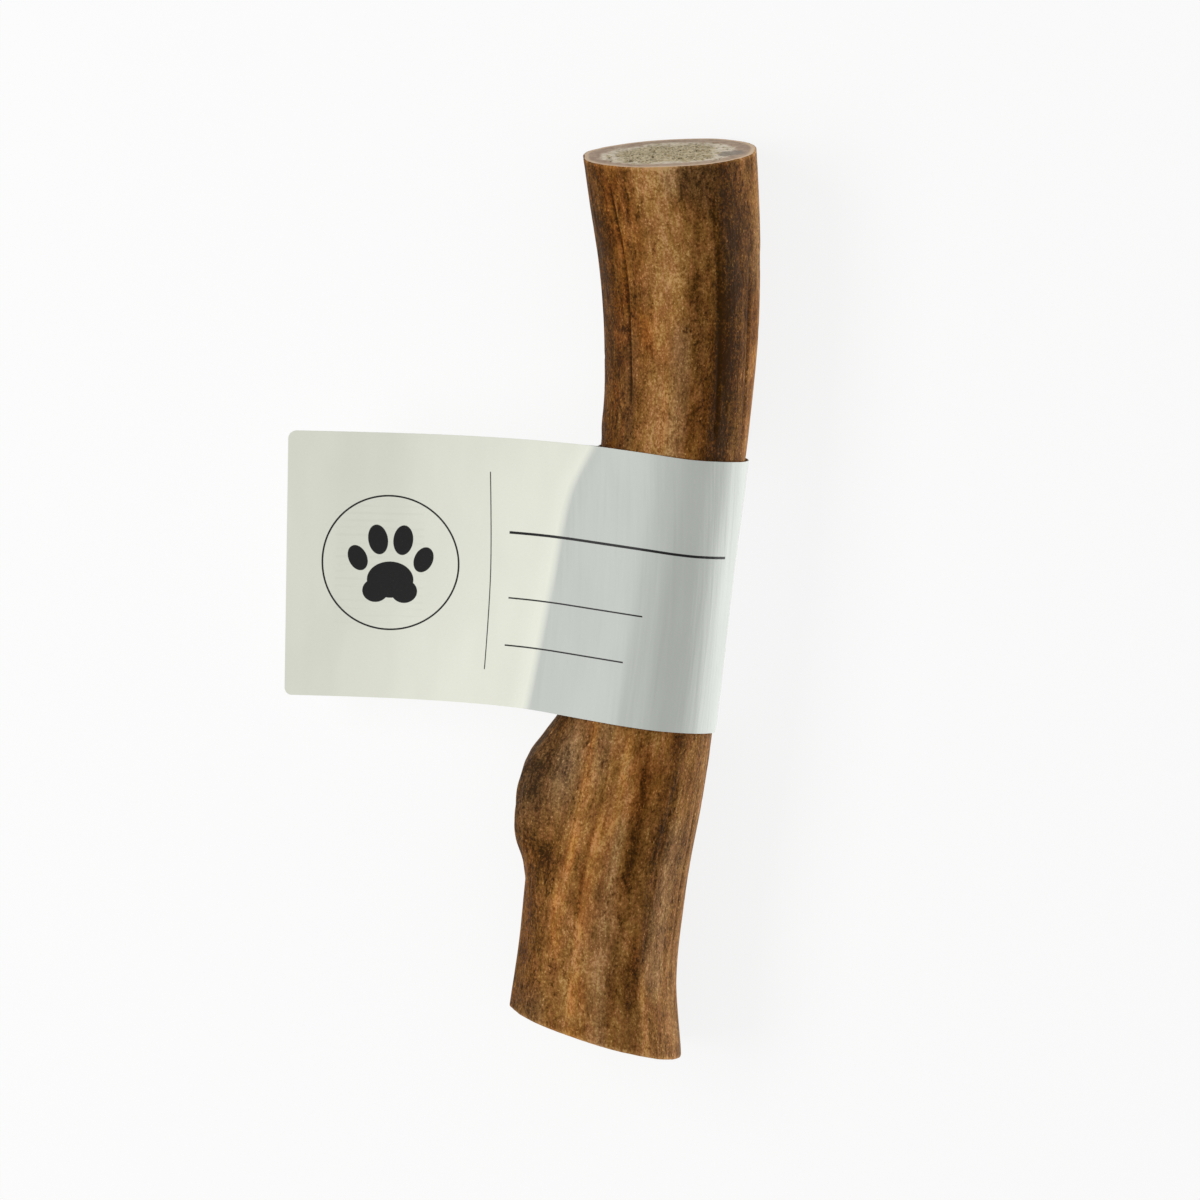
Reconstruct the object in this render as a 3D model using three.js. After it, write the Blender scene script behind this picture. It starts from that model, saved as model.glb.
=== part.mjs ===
import * as THREE from 'three';

// A length of reindeer antler, sawn off at both ends, lying on its back, with a paper label round it.
// Millimetres. X runs to the right across the beam, Y along it to its upper end, Z up from the surface
// that it lies on. The origin is on that surface, under the middle of the whole object.

// The beam. A section is an oval that stands across the beam. Its place is y along the beam and x
// across it, and it is half wide to each side. Slant is how far it drops to the right, and lean how far
// its front edge leans to the lower end, in degrees. Front and back are its depths above and below the
// widest line, and square says how flat the back is: 2 is an ellipse.
const BEAM_SECTIONS = [
  { y: -72.2, x: 12.1, half: 14.8, slant: 17.4, lean: 1.4, front: 13.2, back: 12.65, square: 2.9 },
  { y: -59.7, x: 12.8, half: 13.6, slant: 14.0, lean: 1.4, front: 12.4, back: 11.9, square: 2.8 },
  { y: -46.4, x: 14.2, half: 13.6, slant: 11.0, lean: 1.0, front: 12.3, back: 11.5, square: 2.6 },
  { y: -31.4, x: 17.1, half: 13.4, slant: 8.6, lean: 0.6, front: 12.2, back: 11.2, square: 2.4 },
  { y: -16.4, x: 19.6, half: 13.0, slant: 6.9, lean: 0, front: 12.0, back: 10.9, square: 2.3 },
  { y: 3.6, x: 22.4, half: 12.5, slant: 6.4, lean: 0, front: 11.6, back: 10.7, square: 2.2 },
  { y: 21.9, x: 24.8, half: 12.3, slant: 6.0, lean: 0, front: 11.4, back: 10.5, square: 2.2 },
  { y: 33.6, x: 26.1, half: 12.4, slant: 3.4, lean: 0.6, front: 11.4, back: 10.8, square: 2.2 },
  { y: 45.2, x: 26.6, half: 12.9, slant: 0.5, lean: 1.8, front: 11.6, back: 11.3, square: 2.2 },
  { y: 56.9, x: 26.3, half: 13.5, slant: -1.6, lean: 3.4, front: 11.9, back: 11.8, square: 2.3 },
  { y: 67.0, x: 25.4, half: 14.2, slant: -2.8, lean: 5.0, front: 12.2, back: 12.4, square: 2.3 },
  { y: 75.0, x: 24.6, half: 14.6, slant: -2.8, lean: 6.2, front: 12.4, back: 12.75, square: 2.3 },
];
const MIDDLE_HEIGHT = 12.5;
const BACK_SKEW = 1.6;

// Shallow flutes that run along the beam
const FLUTE_DEPTH = 0.35;
const FLUTES = [
  { count: 5, phase: 0.6, turn: 0.010 },
  { count: 8, phase: 2.1, turn: -0.014 },
];

// The stub of a tine on the left: how far it stands out at each place along the beam
const STUB_PROFILE = [
  { y: -46.4, rise: 0 },
  { y: -43.1, rise: 1.0 },
  { y: -39.8, rise: 2.7 },
  { y: -37.1, rise: 3.5 },
  { y: -30.2, rise: 4.2 },
  { y: -25.2, rise: 3.4 },
  { y: -22.1, rise: 1.6 },
  { y: -18.9, rise: 0 },
];
const STUB_ANGLE = 176;
const STUB_SPREAD = 50;
const HOLLOW = { angle: 150, y: -40.2, depth: 0.9, spread: 13, length: 3.6 };

const ROUND_STEPS = 56;
const LENGTH_STEPS = 62;

// The label. The two layers of its flag part at a seam, which lies out to the left of the beam, and go
// straight on to the beam. The flag ends in a straight edge. Slants, drops and twists are in degrees.
const LABEL_LOW = -19.9;
const LABEL_HIGH = 25.2;
const PAPER_THICKNESS = 0.4;
const PAPER_GAP = 0.3;
const SEAM_PROFILE = [
  { y: -19.9, out: 5.3 },
  { y: 3.0, out: 4.5 },
  { y: 16.9, out: 3.6 },
  { y: 25.2, out: 0.9 },
];
const SEAM = { rise: 5.0, wall: 0.6, slant: 5.9, drop: 7, twist: 3 };
const FLAG_END = { x: -39.2, y: 6.5, rise: 0.6, height: 45.4, slant: 1.2, drop: 5, twist: 9 };
const FLAG_STEPS = 12;
const WRAP_STEPS = 48;
const LABEL_STEPS = 6;

const radians = THREE.MathUtils.degToRad;

// A smooth curve through a table: a cubic between two rows, with slopes from the rows on both sides.
function smooth(rows, y, field) {
  const last = rows.length - 1;
  const slopeAt = (i) => {
    const a = rows[Math.max(i - 1, 0)];
    const b = rows[Math.min(i + 1, last)];
    return (b[field] - a[field]) / (b.y - a.y);
  };
  const place = THREE.MathUtils.clamp(y, rows[0].y, rows[last].y);
  let i = 0;
  while (i < last - 1 && place > rows[i + 1].y) {
    i += 1;
  }
  const span = rows[i + 1].y - rows[i].y;
  const t = (place - rows[i].y) / span;
  const t2 = t * t;
  const t3 = t2 * t;
  return (2 * t3 - 3 * t2 + 1) * rows[i][field]
    + (t3 - 2 * t2 + t) * span * slopeAt(i)
    + (3 * t2 - 2 * t3) * rows[i + 1][field]
    + (t3 - t2) * span * slopeAt(i + 1);
}

const signedPower = (value, power) => Math.sign(value) * Math.abs(value) ** power;

// A half bell: 1 at no distance, and 0 from the reach on
function bell(distance, reach) {
  const share = Math.min(Math.abs(distance) / reach, 1);
  return Math.cos(share * Math.PI / 2) ** 2;
}

// A point in the plane of the section at y: across is how far it lies to the right of the section's
// middle, and up how far it lies above it
function sectionPoint(y, across, up) {
  const slant = radians(smooth(BEAM_SECTIONS, y, 'slant'));
  const lean = radians(smooth(BEAM_SECTIONS, y, 'lean'));
  return new THREE.Vector3(
    smooth(BEAM_SECTIONS, y, 'x') + across * Math.cos(slant) - up * Math.sin(lean) * Math.sin(slant),
    y - across * Math.sin(slant) - up * Math.sin(lean) * Math.cos(slant),
    MIDDLE_HEIGHT + up * Math.cos(lean),
  );
}

// The smooth oval of the section at y, as across and up, at an angle seen from the lower end: 0 is right
// and 90 is front. Outwards is how far beyond the oval the point lies. The back is skewed to the right,
// and it is flat where it would pass below the surface that the antler lies on.
function ovalAt(y, angle, outwards) {
  const at = (field) => smooth(BEAM_SECTIONS, y, field);
  const turn = radians(angle);
  const isFront = Math.sin(turn) >= 0;
  const power = 2 / (isFront ? 2 : at('square'));
  const depth = (isFront ? at('front') : at('back')) + outwards;
  const upShare = signedPower(Math.sin(turn), power);
  return {
    across: (at('half') + outwards) * signedPower(Math.cos(turn), power)
      + BACK_SKEW * Math.min(upShare, 0) ** 2,
    up: Math.max(depth * upShare, -MIDDLE_HEIGHT / Math.cos(radians(at('lean')))),
  };
}

function ovalPoint(y, angle, outwards) {
  const { across, up } = ovalAt(y, angle, outwards);
  return sectionPoint(y, across, up);
}

// How far the antler's own surface lies inside the oval, from the flutes
function fluteDepth(y, angle) {
  let wave = 0;
  for (const flute of FLUTES) {
    wave += Math.cos(flute.count * (radians(angle) + flute.turn * y) + flute.phase);
  }
  const share = 0.5 + wave / (2 * FLUTES.length);
  return FLUTE_DEPTH * share * Math.min(1, Math.abs(Math.cos(radians(angle) / 2 - Math.PI / 4)) * 3);
}

// A point of the antler: the fluted oval, with the stub pushed out to the left and the hollow pressed in
function antlerPoint(y, angle) {
  const point = ovalPoint(y, angle, -fluteDepth(y, angle));
  const fromStub = Math.abs(angle) - STUB_ANGLE;
  const rise = smooth(STUB_PROFILE, point.y, 'rise') * bell(fromStub, STUB_SPREAD);
  const hollowHere = angle >= 0 ? bell(angle - HOLLOW.angle, HOLLOW.spread) : 0;
  const dent = HOLLOW.depth * hollowHere * bell(point.y - HOLLOW.y, HOLLOW.length);
  const turn = radians(angle);
  point.x += rise * Math.min(Math.cos(turn), 0) - dent * Math.cos(turn);
  point.z += (rise * 0.35 - dent) * Math.sin(turn);
  return point;
}

// A closed body from rings of points: a skin between the rings and a flat fan over each end
function bodyFromRings(rings, endCentres) {
  const positions = [];
  const indices = [];
  const count = rings[0].length;
  for (const ring of rings) {
    for (const point of ring) {
      positions.push(point.x, point.y, point.z);
    }
  }
  for (let r = 0; r < rings.length - 1; r += 1) {
    for (let i = 0; i < count; i += 1) {
      const next = (i + 1) % count;
      const a = r * count + i;
      const b = r * count + next;
      indices.push(a, b, a + count, b, b + count, a + count);
    }
  }
  const lowCentre = positions.length / 3;
  for (const centre of endCentres) {
    positions.push(centre.x, centre.y, centre.z);
  }
  const topRing = (rings.length - 1) * count;
  for (let i = 0; i < count; i += 1) {
    const next = (i + 1) % count;
    indices.push(lowCentre, next, i);
    indices.push(lowCentre + 1, topRing + i, topRing + next);
  }
  const geometry = new THREE.BufferGeometry();
  geometry.setAttribute('position', new THREE.Float32BufferAttribute(positions, 3));
  geometry.setIndex(indices);
  geometry.computeVertexNormals();
  return geometry;
}

function antlerGeometry() {
  const low = BEAM_SECTIONS[0].y;
  const high = BEAM_SECTIONS[BEAM_SECTIONS.length - 1].y;
  const rings = [];
  for (let r = 0; r <= LENGTH_STEPS; r += 1) {
    const y = THREE.MathUtils.lerp(low, high, r / LENGTH_STEPS);
    const ring = [];
    for (let i = 0; i < ROUND_STEPS; i += 1) {
      const angle = 180 - 360 * (i + 0.5) / ROUND_STEPS;
      ring.push(antlerPoint(y, angle));
    }
    rings.push(ring);
  }
  const centreAt = (y) => new THREE.Vector3(smooth(BEAM_SECTIONS, y, 'x'), y, MIDDLE_HEIGHT);
  return bodyFromRings(rings, [centreAt(low), centreAt(high)]);
}

const labelRow = (height) => THREE.MathUtils.lerp(LABEL_LOW, LABEL_HIGH, height);

// Where the flag's two layers part, in the section's across and up, moved inwards towards its middle
function seamAt(height, inwards) {
  const y = labelRow(height);
  const along = (height - 0.5) * FLAG_END.height;
  const across = -smooth(BEAM_SECTIONS, y, 'half') - smooth(SEAM_PROFILE, y, 'out');
  const up = SEAM.rise + along * Math.sin(radians(SEAM.twist));
  const share = 1 - inwards / Math.hypot(across, up);
  return { across: across * share, up: up * share };
}

// The angle at which a straight line from the seam touches the oval. Side is 1 at the front and -1 at
// the back. Of all lines from the seam to that side, it is the steepest one.
function touchAngle(y, seam, outwards, side) {
  let touch = side * 180;
  let steepest = -Infinity;
  for (let angle = 180; angle > 60; angle -= 1) {
    const point = ovalAt(y, side * angle, outwards);
    const steepness = side * Math.atan2(point.up - seam.up, point.across - seam.across);
    if (steepness > steepest) {
      steepest = steepness;
      touch = side * angle;
    }
  }
  return touch;
}

// The points of the oval that the label lies on, from the front touch to the back one
function wrapPoints(height, seam, outwards) {
  const y = labelRow(height);
  const front = touchAngle(y, seam, outwards, 1);
  const back = touchAngle(y, seam, outwards, -1);
  const points = [];
  for (let step = 0; step <= WRAP_STEPS; step += 1) {
    points.push(ovalPoint(y, THREE.MathUtils.lerp(front, back, step / WRAP_STEPS), outwards));
  }
  return points;
}

// The flag's middle surface: share runs from 0 at the seam to 1 at the free end, and height from 0 at
// the lower edge to 1 at the upper one. It is a cubic that leaves both ends along their own slant.
function flagPoint(share, height) {
  const seam = seamAt(height, 0);
  const root = sectionPoint(labelRow(height), seam.across, seam.up);
  const slant = radians(FLAG_END.slant);
  const twist = radians(FLAG_END.twist);
  const along = (height - 0.5) * FLAG_END.height;
  const end = new THREE.Vector3(
    FLAG_END.x + along * Math.cos(twist) * Math.sin(slant),
    FLAG_END.y + along * Math.cos(twist) * Math.cos(slant),
    MIDDLE_HEIGHT + FLAG_END.rise + along * Math.sin(twist),
  );
  const length = root.distanceTo(end);
  const directionAt = (place) => new THREE.Vector3(
    -Math.cos(radians(place.slant)),
    Math.sin(radians(place.slant)),
    -Math.tan(radians(place.drop)),
  ).multiplyScalar(length);
  const s2 = share * share;
  const s3 = s2 * share;
  return new THREE.Vector3()
    .addScaledVector(root, 2 * s3 - 3 * s2 + 1)
    .addScaledVector(directionAt(SEAM), s3 - 2 * s2 + share)
    .addScaledVector(end, 3 * s2 - 2 * s3)
    .addScaledVector(directionAt(FLAG_END), s3 - s2);
}

// The label's outline at one height: the flag's front from its free end to the seam, round the beam,
// and back along the flag's other side
function labelOutline(height) {
  const flagSide = (side) => {
    const points = [];
    for (let step = 0; step <= FLAG_STEPS; step += 1) {
      const point = flagPoint(step / FLAG_STEPS, height);
      point.z += side * PAPER_THICKNESS / 2;
      points.push(point);
    }
    return points;
  };
  const wrap = wrapPoints(height, seamAt(height, 0), PAPER_GAP + PAPER_THICKNESS);
  return [...flagSide(1).reverse(), ...wrap, ...flagSide(-1)];
}

// The edge of the hole in the label, round the beam, with its tip just inside the seam
function labelHole(height) {
  const tip = seamAt(height, SEAM.wall);
  return [sectionPoint(labelRow(height), tip.across, tip.up), ...wrapPoints(height, tip, PAPER_GAP)];
}

// The closed paper body: an outer wall, the wall of the hole, and an edge face at each end
function labelGeometry() {
  const positions = [];
  const indices = [];
  const flat = (point) => new THREE.Vector2(point.x, point.z);
  const outerCount = labelOutline(0).length;
  const holeCount = labelHole(0).length;
  const levelCount = outerCount + holeCount;
  for (let level = 0; level <= LABEL_STEPS; level += 1) {
    const height = level / LABEL_STEPS;
    for (const point of [...labelOutline(height), ...labelHole(height)]) {
      positions.push(point.x, point.y, point.z);
    }
  }
  for (let level = 0; level < LABEL_STEPS; level += 1) {
    const start = level * levelCount;
    for (let i = 0; i < outerCount; i += 1) {
      const a = start + i;
      const b = start + (i + 1) % outerCount;
      indices.push(a, b, a + levelCount, b, b + levelCount, a + levelCount);
    }
    for (let i = 0; i < holeCount; i += 1) {
      const a = start + outerCount + i;
      const b = start + outerCount + (i + 1) % holeCount;
      indices.push(a, a + levelCount, b, b, a + levelCount, b + levelCount);
    }
  }
  const outline = labelOutline(0).map(flat);
  const hole = labelHole(0).map(flat);
  const topStart = LABEL_STEPS * levelCount;
  for (const [a, b, c] of THREE.ShapeUtils.triangulateShape(outline, [hole])) {
    const area = THREE.ShapeUtils.area([a, b, c].map((i) => [...outline, ...hole][i]));
    const [first, second, third] = area > 0 ? [a, b, c] : [a, c, b];
    indices.push(first, second, third);
    indices.push(topStart + first, topStart + third, topStart + second);
  }
  const geometry = new THREE.BufferGeometry();
  geometry.setAttribute('position', new THREE.Float32BufferAttribute(positions, 3));
  geometry.setIndex(indices);
  geometry.computeVertexNormals();
  return geometry;
}

const antlerMaterial = new THREE.MeshStandardMaterial({ color: 0x7d542c, roughness: 0.6, metalness: 0 });
const paperMaterial = new THREE.MeshStandardMaterial({ color: 0xe0e1d6, roughness: 0.55, metalness: 0 });

const antler = new THREE.Mesh(antlerGeometry(), antlerMaterial);
antler.name = 'antler';
const label = new THREE.Mesh(labelGeometry(), paperMaterial);
label.name = 'label';

const labelledAntler = new THREE.Group();
labelledAntler.add(antler, label);

export default labelledAntler;
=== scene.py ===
"""A length of reindeer antler with a paper label round it, as surfaces worked out with numpy.

The antler lies on its back. X runs to the right across it, Y along it to its upper end, and Z up from
the floor. Shapes are worked out in millimetres and go into the meshes in metres.
"""

import bpy
import numpy as np
from bpy.props import FloatProperty, FloatVectorProperty, PointerProperty
from mathutils import Matrix, Vector


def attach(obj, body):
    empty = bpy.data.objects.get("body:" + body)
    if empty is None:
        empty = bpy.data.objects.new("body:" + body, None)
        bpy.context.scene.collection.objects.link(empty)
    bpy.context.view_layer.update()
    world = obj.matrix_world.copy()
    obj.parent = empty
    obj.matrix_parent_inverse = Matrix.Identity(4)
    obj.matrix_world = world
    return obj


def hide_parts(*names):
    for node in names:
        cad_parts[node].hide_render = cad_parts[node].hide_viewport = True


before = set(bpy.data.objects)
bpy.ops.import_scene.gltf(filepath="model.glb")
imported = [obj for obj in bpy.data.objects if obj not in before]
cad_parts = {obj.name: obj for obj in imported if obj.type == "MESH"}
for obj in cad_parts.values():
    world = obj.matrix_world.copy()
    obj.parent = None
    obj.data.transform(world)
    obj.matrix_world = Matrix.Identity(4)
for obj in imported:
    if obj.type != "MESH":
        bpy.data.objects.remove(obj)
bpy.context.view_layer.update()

bl_info = {
    "name": "Reindeer Antler with Label",
    "version": (1, 0, 0),
    "blender": (4, 5, 0),
    "location": "View3D > Sidebar > Antler",
    "description": "Builds a sawn length of reindeer antler, its paper label and a plain studio",
    "category": "Object",
}

MM = 0.001

# The beam's sections: y along the beam, x across it, half the width, how far the section drops to the
# right and how far its front leans to the lower end in degrees, its depths in front and behind, and how
# flat its back is. Millimetres.
SECTION_FIELDS = ("y", "x", "half", "slant", "lean", "front", "back", "square")
BEAM_SECTIONS = np.array([
    (-72.2, 12.3, 15.0, 17.1, 2.9, 13.2, 12.65, 2.9),
    (-59.7, 12.8, 13.6, 14.0, 1.4, 12.4, 11.9, 2.8),
    (-46.4, 14.2, 13.6, 11.0, 1.0, 12.3, 11.5, 2.6),
    (-31.4, 17.1, 13.4, 8.6, 0.6, 12.2, 11.2, 2.4),
    (-16.4, 19.6, 13.0, 6.9, 0.0, 12.0, 10.9, 2.3),
    (3.6, 22.4, 12.5, 6.4, 0.0, 11.6, 10.7, 2.2),
    (21.9, 24.8, 12.3, 6.0, 0.0, 11.4, 10.5, 2.2),
    (33.6, 26.1, 12.4, 3.4, 0.6, 11.4, 10.8, 2.2),
    (45.2, 26.6, 12.9, 0.5, 1.8, 11.6, 11.3, 2.2),
    (56.9, 26.3, 13.5, -1.6, 3.4, 11.9, 11.8, 2.3),
    (67.0, 25.4, 14.2, -2.8, 5.0, 12.2, 12.4, 2.3),
    (74.7, 24.6, 14.6, -2.4, 7.5, 12.4, 12.75, 2.3),
])
LOW_END = BEAM_SECTIONS[0, 0]
HIGH_END = BEAM_SECTIONS[-1, 0]

# The height of the sections' middles, how far the back is skewed to the right at its lowest, and the
# radius on which the horn's pattern is laid out
MIDDLE_HEIGHT = 12.5
BACK_SKEW = 1.6
MEAN_RADIUS = 13.0

# Shallow flutes along the beam: how many, where they start in radians, and how far they turn in each
# millimetre
FLUTES = ((5, 0.6, 0.010), (8, 2.1, -0.014))

# How soon the relief fades in beside the middle of the back, where the antler lies on the floor
BACK_SHARPNESS = 3

# The stub of a tine on the left: y, and how far it stands out there, the angle of its middle, its reach
# round the beam in degrees, and how far it also stands up, as a share of that
STUB_PROFILE = np.array([
    (-46.4, 0.0),
    (-43.1, 1.0),
    (-39.8, 2.7),
    (-37.1, 3.5),
    (-30.2, 4.2),
    (-25.2, 3.4),
    (-22.1, 1.6),
    (-18.9, 0.0),
])
STUB_ANGLE = 176
STUB_SPREAD = 50
STUB_FRONT_SHARE = 0.35

# Patches on and beside the stub: the angle and y of their middle, their reach round the beam in degrees
# and along it, and their strength. The hollow's strength is its depth.
HOLLOW = {"angle": 145, "y": -40.8, "spread": 13, "length": 3.6, "strength": 0.9}
KNOBBLY_SKIN = {"angle": STUB_ANGLE, "y": -32, "spread": 46, "length": 17, "strength": 1.0}
PALE_PATCH = {"angle": 138, "y": -28, "spread": 17, "length": 12, "strength": 0.20}
ASH_BESIDE_STUB = {"angle": 140, "y": -28, "spread": 24, "length": 14, "strength": 0.95}
ASH_ON_STUB = {"angle": 164, "y": -31, "spread": 36, "length": 15, "strength": 0.75}
COOL_PATCH = {"angle": 155, "y": -34, "spread": 30, "length": 17, "strength": 0.85}
# Painted shade: the last two patches darken the colour in the hollow below the stub and along the stub's
# edge, where shade falls
PAINTED_SHADE_IN_HOLLOW = {"angle": 141, "y": -43.2, "spread": 12, "length": 5.5, "strength": 1.0}
PAINTED_SHADE_ON_STUB = {"angle": 168, "y": -33, "spread": 26, "length": 15, "strength": 0.50}

# Smooth noises: their cells round and along the beam, or across and up a sawn face, the seed of their
# values, and their strength
NOISES = {
    "fibre wander": {"cells": (5, 9), "seed": 11, "strength": 0.007},
    "channels": {"cells": (24, 5), "seed": 12, "strength": 1.0},
    "ridges": {"cells": (62, 9), "seed": 13, "strength": 1.0},
    "ripples": {"cells": (82, 30), "seed": 14, "strength": 1.0},
    "swell": {"cells": (9, 12), "seed": 15, "strength": 1.0},
    "pits": {"cells": (80, 95), "seed": 16, "strength": 1.0},
    "knobs": {"cells": (40, 42), "seed": 21, "strength": 0.17},
    "wrinkles": {"cells": (74, 60), "seed": 22, "strength": 0.09},
    "pores": {"cells": (44, 44), "seed": 31, "strength": 1.0},
    "small pores": {"cells": (70, 70), "seed": 32, "strength": 1.0},
    "band drift": {"cells": (4, 8), "seed": 41, "strength": 2.5},
    "streak wander": {"cells": (5, 9), "seed": 11, "strength": 0.006},
    "streaks": {"cells": (30, 5), "seed": 42, "strength": 0.085},
    "threads": {"cells": (66, 9), "seed": 43, "strength": 0.060},
    "clouds": {"cells": (20, 26), "seed": 44, "strength": 0.085},
    "lane wander": {"cells": (6, 14), "seed": 46, "strength": 3.0},
    "lane fray": {"cells": (48, 26), "seed": 47, "strength": 0.5},
    "ash patches": {"cells": (16, 9), "seed": 51, "strength": 1.0},
    "warm patches": {"cells": (18, 10), "seed": 52, "strength": 1.0},
    # The fray of the painted shade in the hollow and along the stub
    "painted shade fray": {"cells": (50, 60), "seed": 53, "strength": 0.4},
    "paper waves": {"cells": (15, 2), "seed": 61, "strength": 1.0},
    "paper ripples": {"cells": (34, 2), "seed": 62, "strength": 0.6},
    "groove wander": {"cells": (4, 9), "seed": 71, "strength": 1.6},
}

# Grooves that blood vessels left along the beam: angle at the lower and upper end of the groove, its y
# range, depth and half width in degrees. The first one, the main groove, is also drawn as a dark line.
VEIN_GROOVES = (
    {"angles": (131, 136), "low": 32, "high": 72, "depth": 0.34, "width": 2.0},
    {"angles": (112, 104), "low": -70, "high": -26, "depth": 0.16, "width": 2.6},
    {"angles": (58, 66), "low": 27, "high": 74, "depth": 0.18, "width": 3.0},
    {"angles": (20, 30), "low": -60, "high": 60, "depth": 0.22, "width": 3.0},
    {"angles": (-40, -52), "low": -70, "high": 10, "depth": 0.25, "width": 3.4},
    {"angles": (-120, -108), "low": -20, "high": 72, "depth": 0.28, "width": 3.4},
)

# Where a groove or a lane starts and is full, as shares of its length from either end
GROOVE_FADE = (-0.05, 0.12)
LANE_FADE = (-0.1, 0.15)

# Where round the beam the grooves' wander and the bands' drift are read, as a share of the turn
GROOVE_PLACE = 0.5
DRIFT_PLACE = 0.25

# How far beside the main groove its dark line may be drawn, in degrees
GROOVE_LINE_REACH = 30

# The grain's depths, and where its channels and pits show in their noises
GRAIN_DEPTHS = {"channels": 0.13, "ridges": 0.045, "ripples": 0.020, "swell": 0.10, "pits": 0.10}
CHANNEL_REACH = 0.11
PIT_RANGE = (0.62, 0.95)

# The mean depth of the grain, by which the skin is moved out, how much more so on the left, outside the
# label, and over what distance from the label this fades in
GRAIN_MEAN = 0.12
LEFT_BULGE = {"angle": 180, "reach": 75, "strength": 0.26}
BESIDE_LABEL = (0, 4)

# The sawn faces: how thick the hard layer is, how soft its inner edge, and the waves of that edge across
# and up the face; the side of the square that the pores' noises cover
HARD_LAYER = {"depth": 3.3, "edge": 0.5}
LAYER_WAVE_ACROSS = {"height": 0.7, "rate": 0.45, "start": 1.3}
LAYER_WAVE_UP = {"height": 0.5, "rate": 0.6}
FACE_SQUARE = 40

# How deep the core, its pores and the saw's ripples are sunk, where the pores show in their noises, the
# share of small pores in the hard layer, the ripples' direction and rate, and how near to the rim they fade
SUNK = {"core": 0.10, "pores": 0.30, "small pores": 0.10, "ripples": 0.012}
PORE_RANGE = (0.15, 0.65)
SMALL_PORE_RANGE = (0.35, 0.8)
PORES_IN_LAYER = 0.25
SAW_RIPPLES = {"across": 0.9, "up": 0.35, "rate": 4.6}
RIM_FADE = (0.1, 0.9)

# The mesh of the antler, and the radius of its rounded rims
ROUND_COUNT = 248
BODY_ROWS = 286
RIM_ROWS = 4
FACE_ROWS = 50
RIM_RADIUS = 0.22

# How light the horn is, from 0 to 1, and the broad bands along the beam that are lighter or darker, on its
# upper and on its lower part: the angle from the right over the front, half the width, and the change
HORN_TONE = 0.46
UPPER_BANDS = (
    {"angle": 166, "reach": 62, "strength": -0.30},
    {"angle": 98, "reach": 36, "strength": 0.34},
    {"angle": 58, "reach": 20, "strength": -0.25},
    {"angle": 40, "reach": 30, "strength": -0.20},
    {"angle": 12, "reach": 30, "strength": 0.10},
)
LOWER_BANDS = (
    {"angle": 158, "reach": 48, "strength": -0.20},
    {"angle": 96, "reach": 40, "strength": 0.23},
    {"angle": 36, "reach": 62, "strength": 0.13},
    {"angle": 32, "reach": 8, "strength": -0.14},
)
UPPER_BANDS_FROM = (-25, 30)

# How much lighter the edges of the sawn ends are, how near to the end, and how much darker a groove is
# for each millimetre of its depth
WORN_EDGE = 0.24
WORN_RANGE = (0.1, 0.7)
GROOVE_TONE = -0.85

# Greyish horn: its patches and where they show in their noise, the grey right edge, the y over which the
# upper part begins, what that part loses of the edge, and its sides that have hardly any patches
ASH_PATCHES = 0.50
ASH_RANGE = (0.0, 0.8)
ASH_EDGE = {"angle": 12, "reach": 34, "strength": 0.30}
ASH_UPPER_FROM = (-10, 20)
ASH_EDGE_LOSS = 0.7
ASH_FREE_SIDES = (
    {"angle": 155, "reach": 45, "strength": 0.8},
    {"angle": 38, "reach": 34, "strength": 0.8},
)

# Orange and reddish horn: how much of it there is everywhere and in patches, and where those show
WARMTH = 0.1
WARM_PATCHES = 0.55
WARM_RANGE = (-0.1, 0.8)

# How much of a lane and of the painted shade in the hollow and on the stub is left where their noises are
# at their mean
LANE_COVER = 0.75
PAINTED_SHADE_COVER = 0.8

# Stained lanes along the beam: the angle at their lower and upper end, y range, half width, and how much
# lighter and how much more orange the horn is there
STAIN_LANES = (
    {"angles": (125, 118), "low": -60, "high": -18, "width": 9, "tone": 0.32, "warm": 1.0},
    {"angles": (65, 51), "low": -74, "high": -16, "width": 12, "tone": -0.32, "warm": -0.1},
    {"angles": (76, 84), "low": -46, "high": -16, "width": 11, "tone": -0.22, "warm": 0.0},
    {"angles": (80, 77), "low": -70, "high": -24, "width": 7, "tone": -0.28, "warm": 0.0},
    {"angles": (55, 52), "low": -73, "high": -56, "width": 6, "tone": 0.26, "warm": 0.5},
    {"angles": (110, 104), "low": -74, "high": -36, "width": 6, "tone": 0.24, "warm": 0.4},
    {"angles": (96, 92), "low": -42, "high": -20, "width": 6, "tone": 0.20, "warm": 0.5},
    {"angles": (146, 134), "low": 22, "high": 76, "width": 19, "tone": 0.04, "warm": 1.1},
    {"angles": (118, 122), "low": 40, "high": 76, "width": 8, "tone": 0.02, "warm": 0.6},
    {"angles": (78, 81), "low": 26, "high": 76, "width": 8, "tone": -0.24, "warm": -0.2},
    {"angles": (62, 52), "low": 26, "high": 74, "width": 13, "tone": -0.14, "warm": 0.0},
    {"angles": (81, 82), "low": 50, "high": 78, "width": 13, "tone": -0.20, "warm": 0.0},
    {"angles": (44, 40), "low": 52, "high": 78, "width": 9, "tone": -0.14, "warm": 0.0},
)

# The y of the label's lower and upper edge on the beam, and the height of its strip
LABEL_LOW = -19.9
LABEL_HIGH = 25.2
LABEL_HEIGHT = 45.4

# The seam where the flag's two layers part: y, and how far it stands off the beam's left side there; how
# high it is above the beam's middle, and the slant, drop and twist of the flag there in degrees
SEAM_PROFILE = np.array([
    (-19.9, 5.3),
    (3.0, 4.5),
    (16.9, 3.6),
    (25.2, 0.4),
])
SEAM = {"rise": 5.0, "slant": 5.9, "drop": 10, "twist": 3}

# The middle of the flag's free end, its slant, drop and twist in degrees, and the length of the flag
FLAG_END = {"x": -39.2, "y": 6.5, "rise": 0.6, "slant": 1.2, "drop": 2, "twist": 9}
FLAG_LENGTH = 46.0

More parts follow.
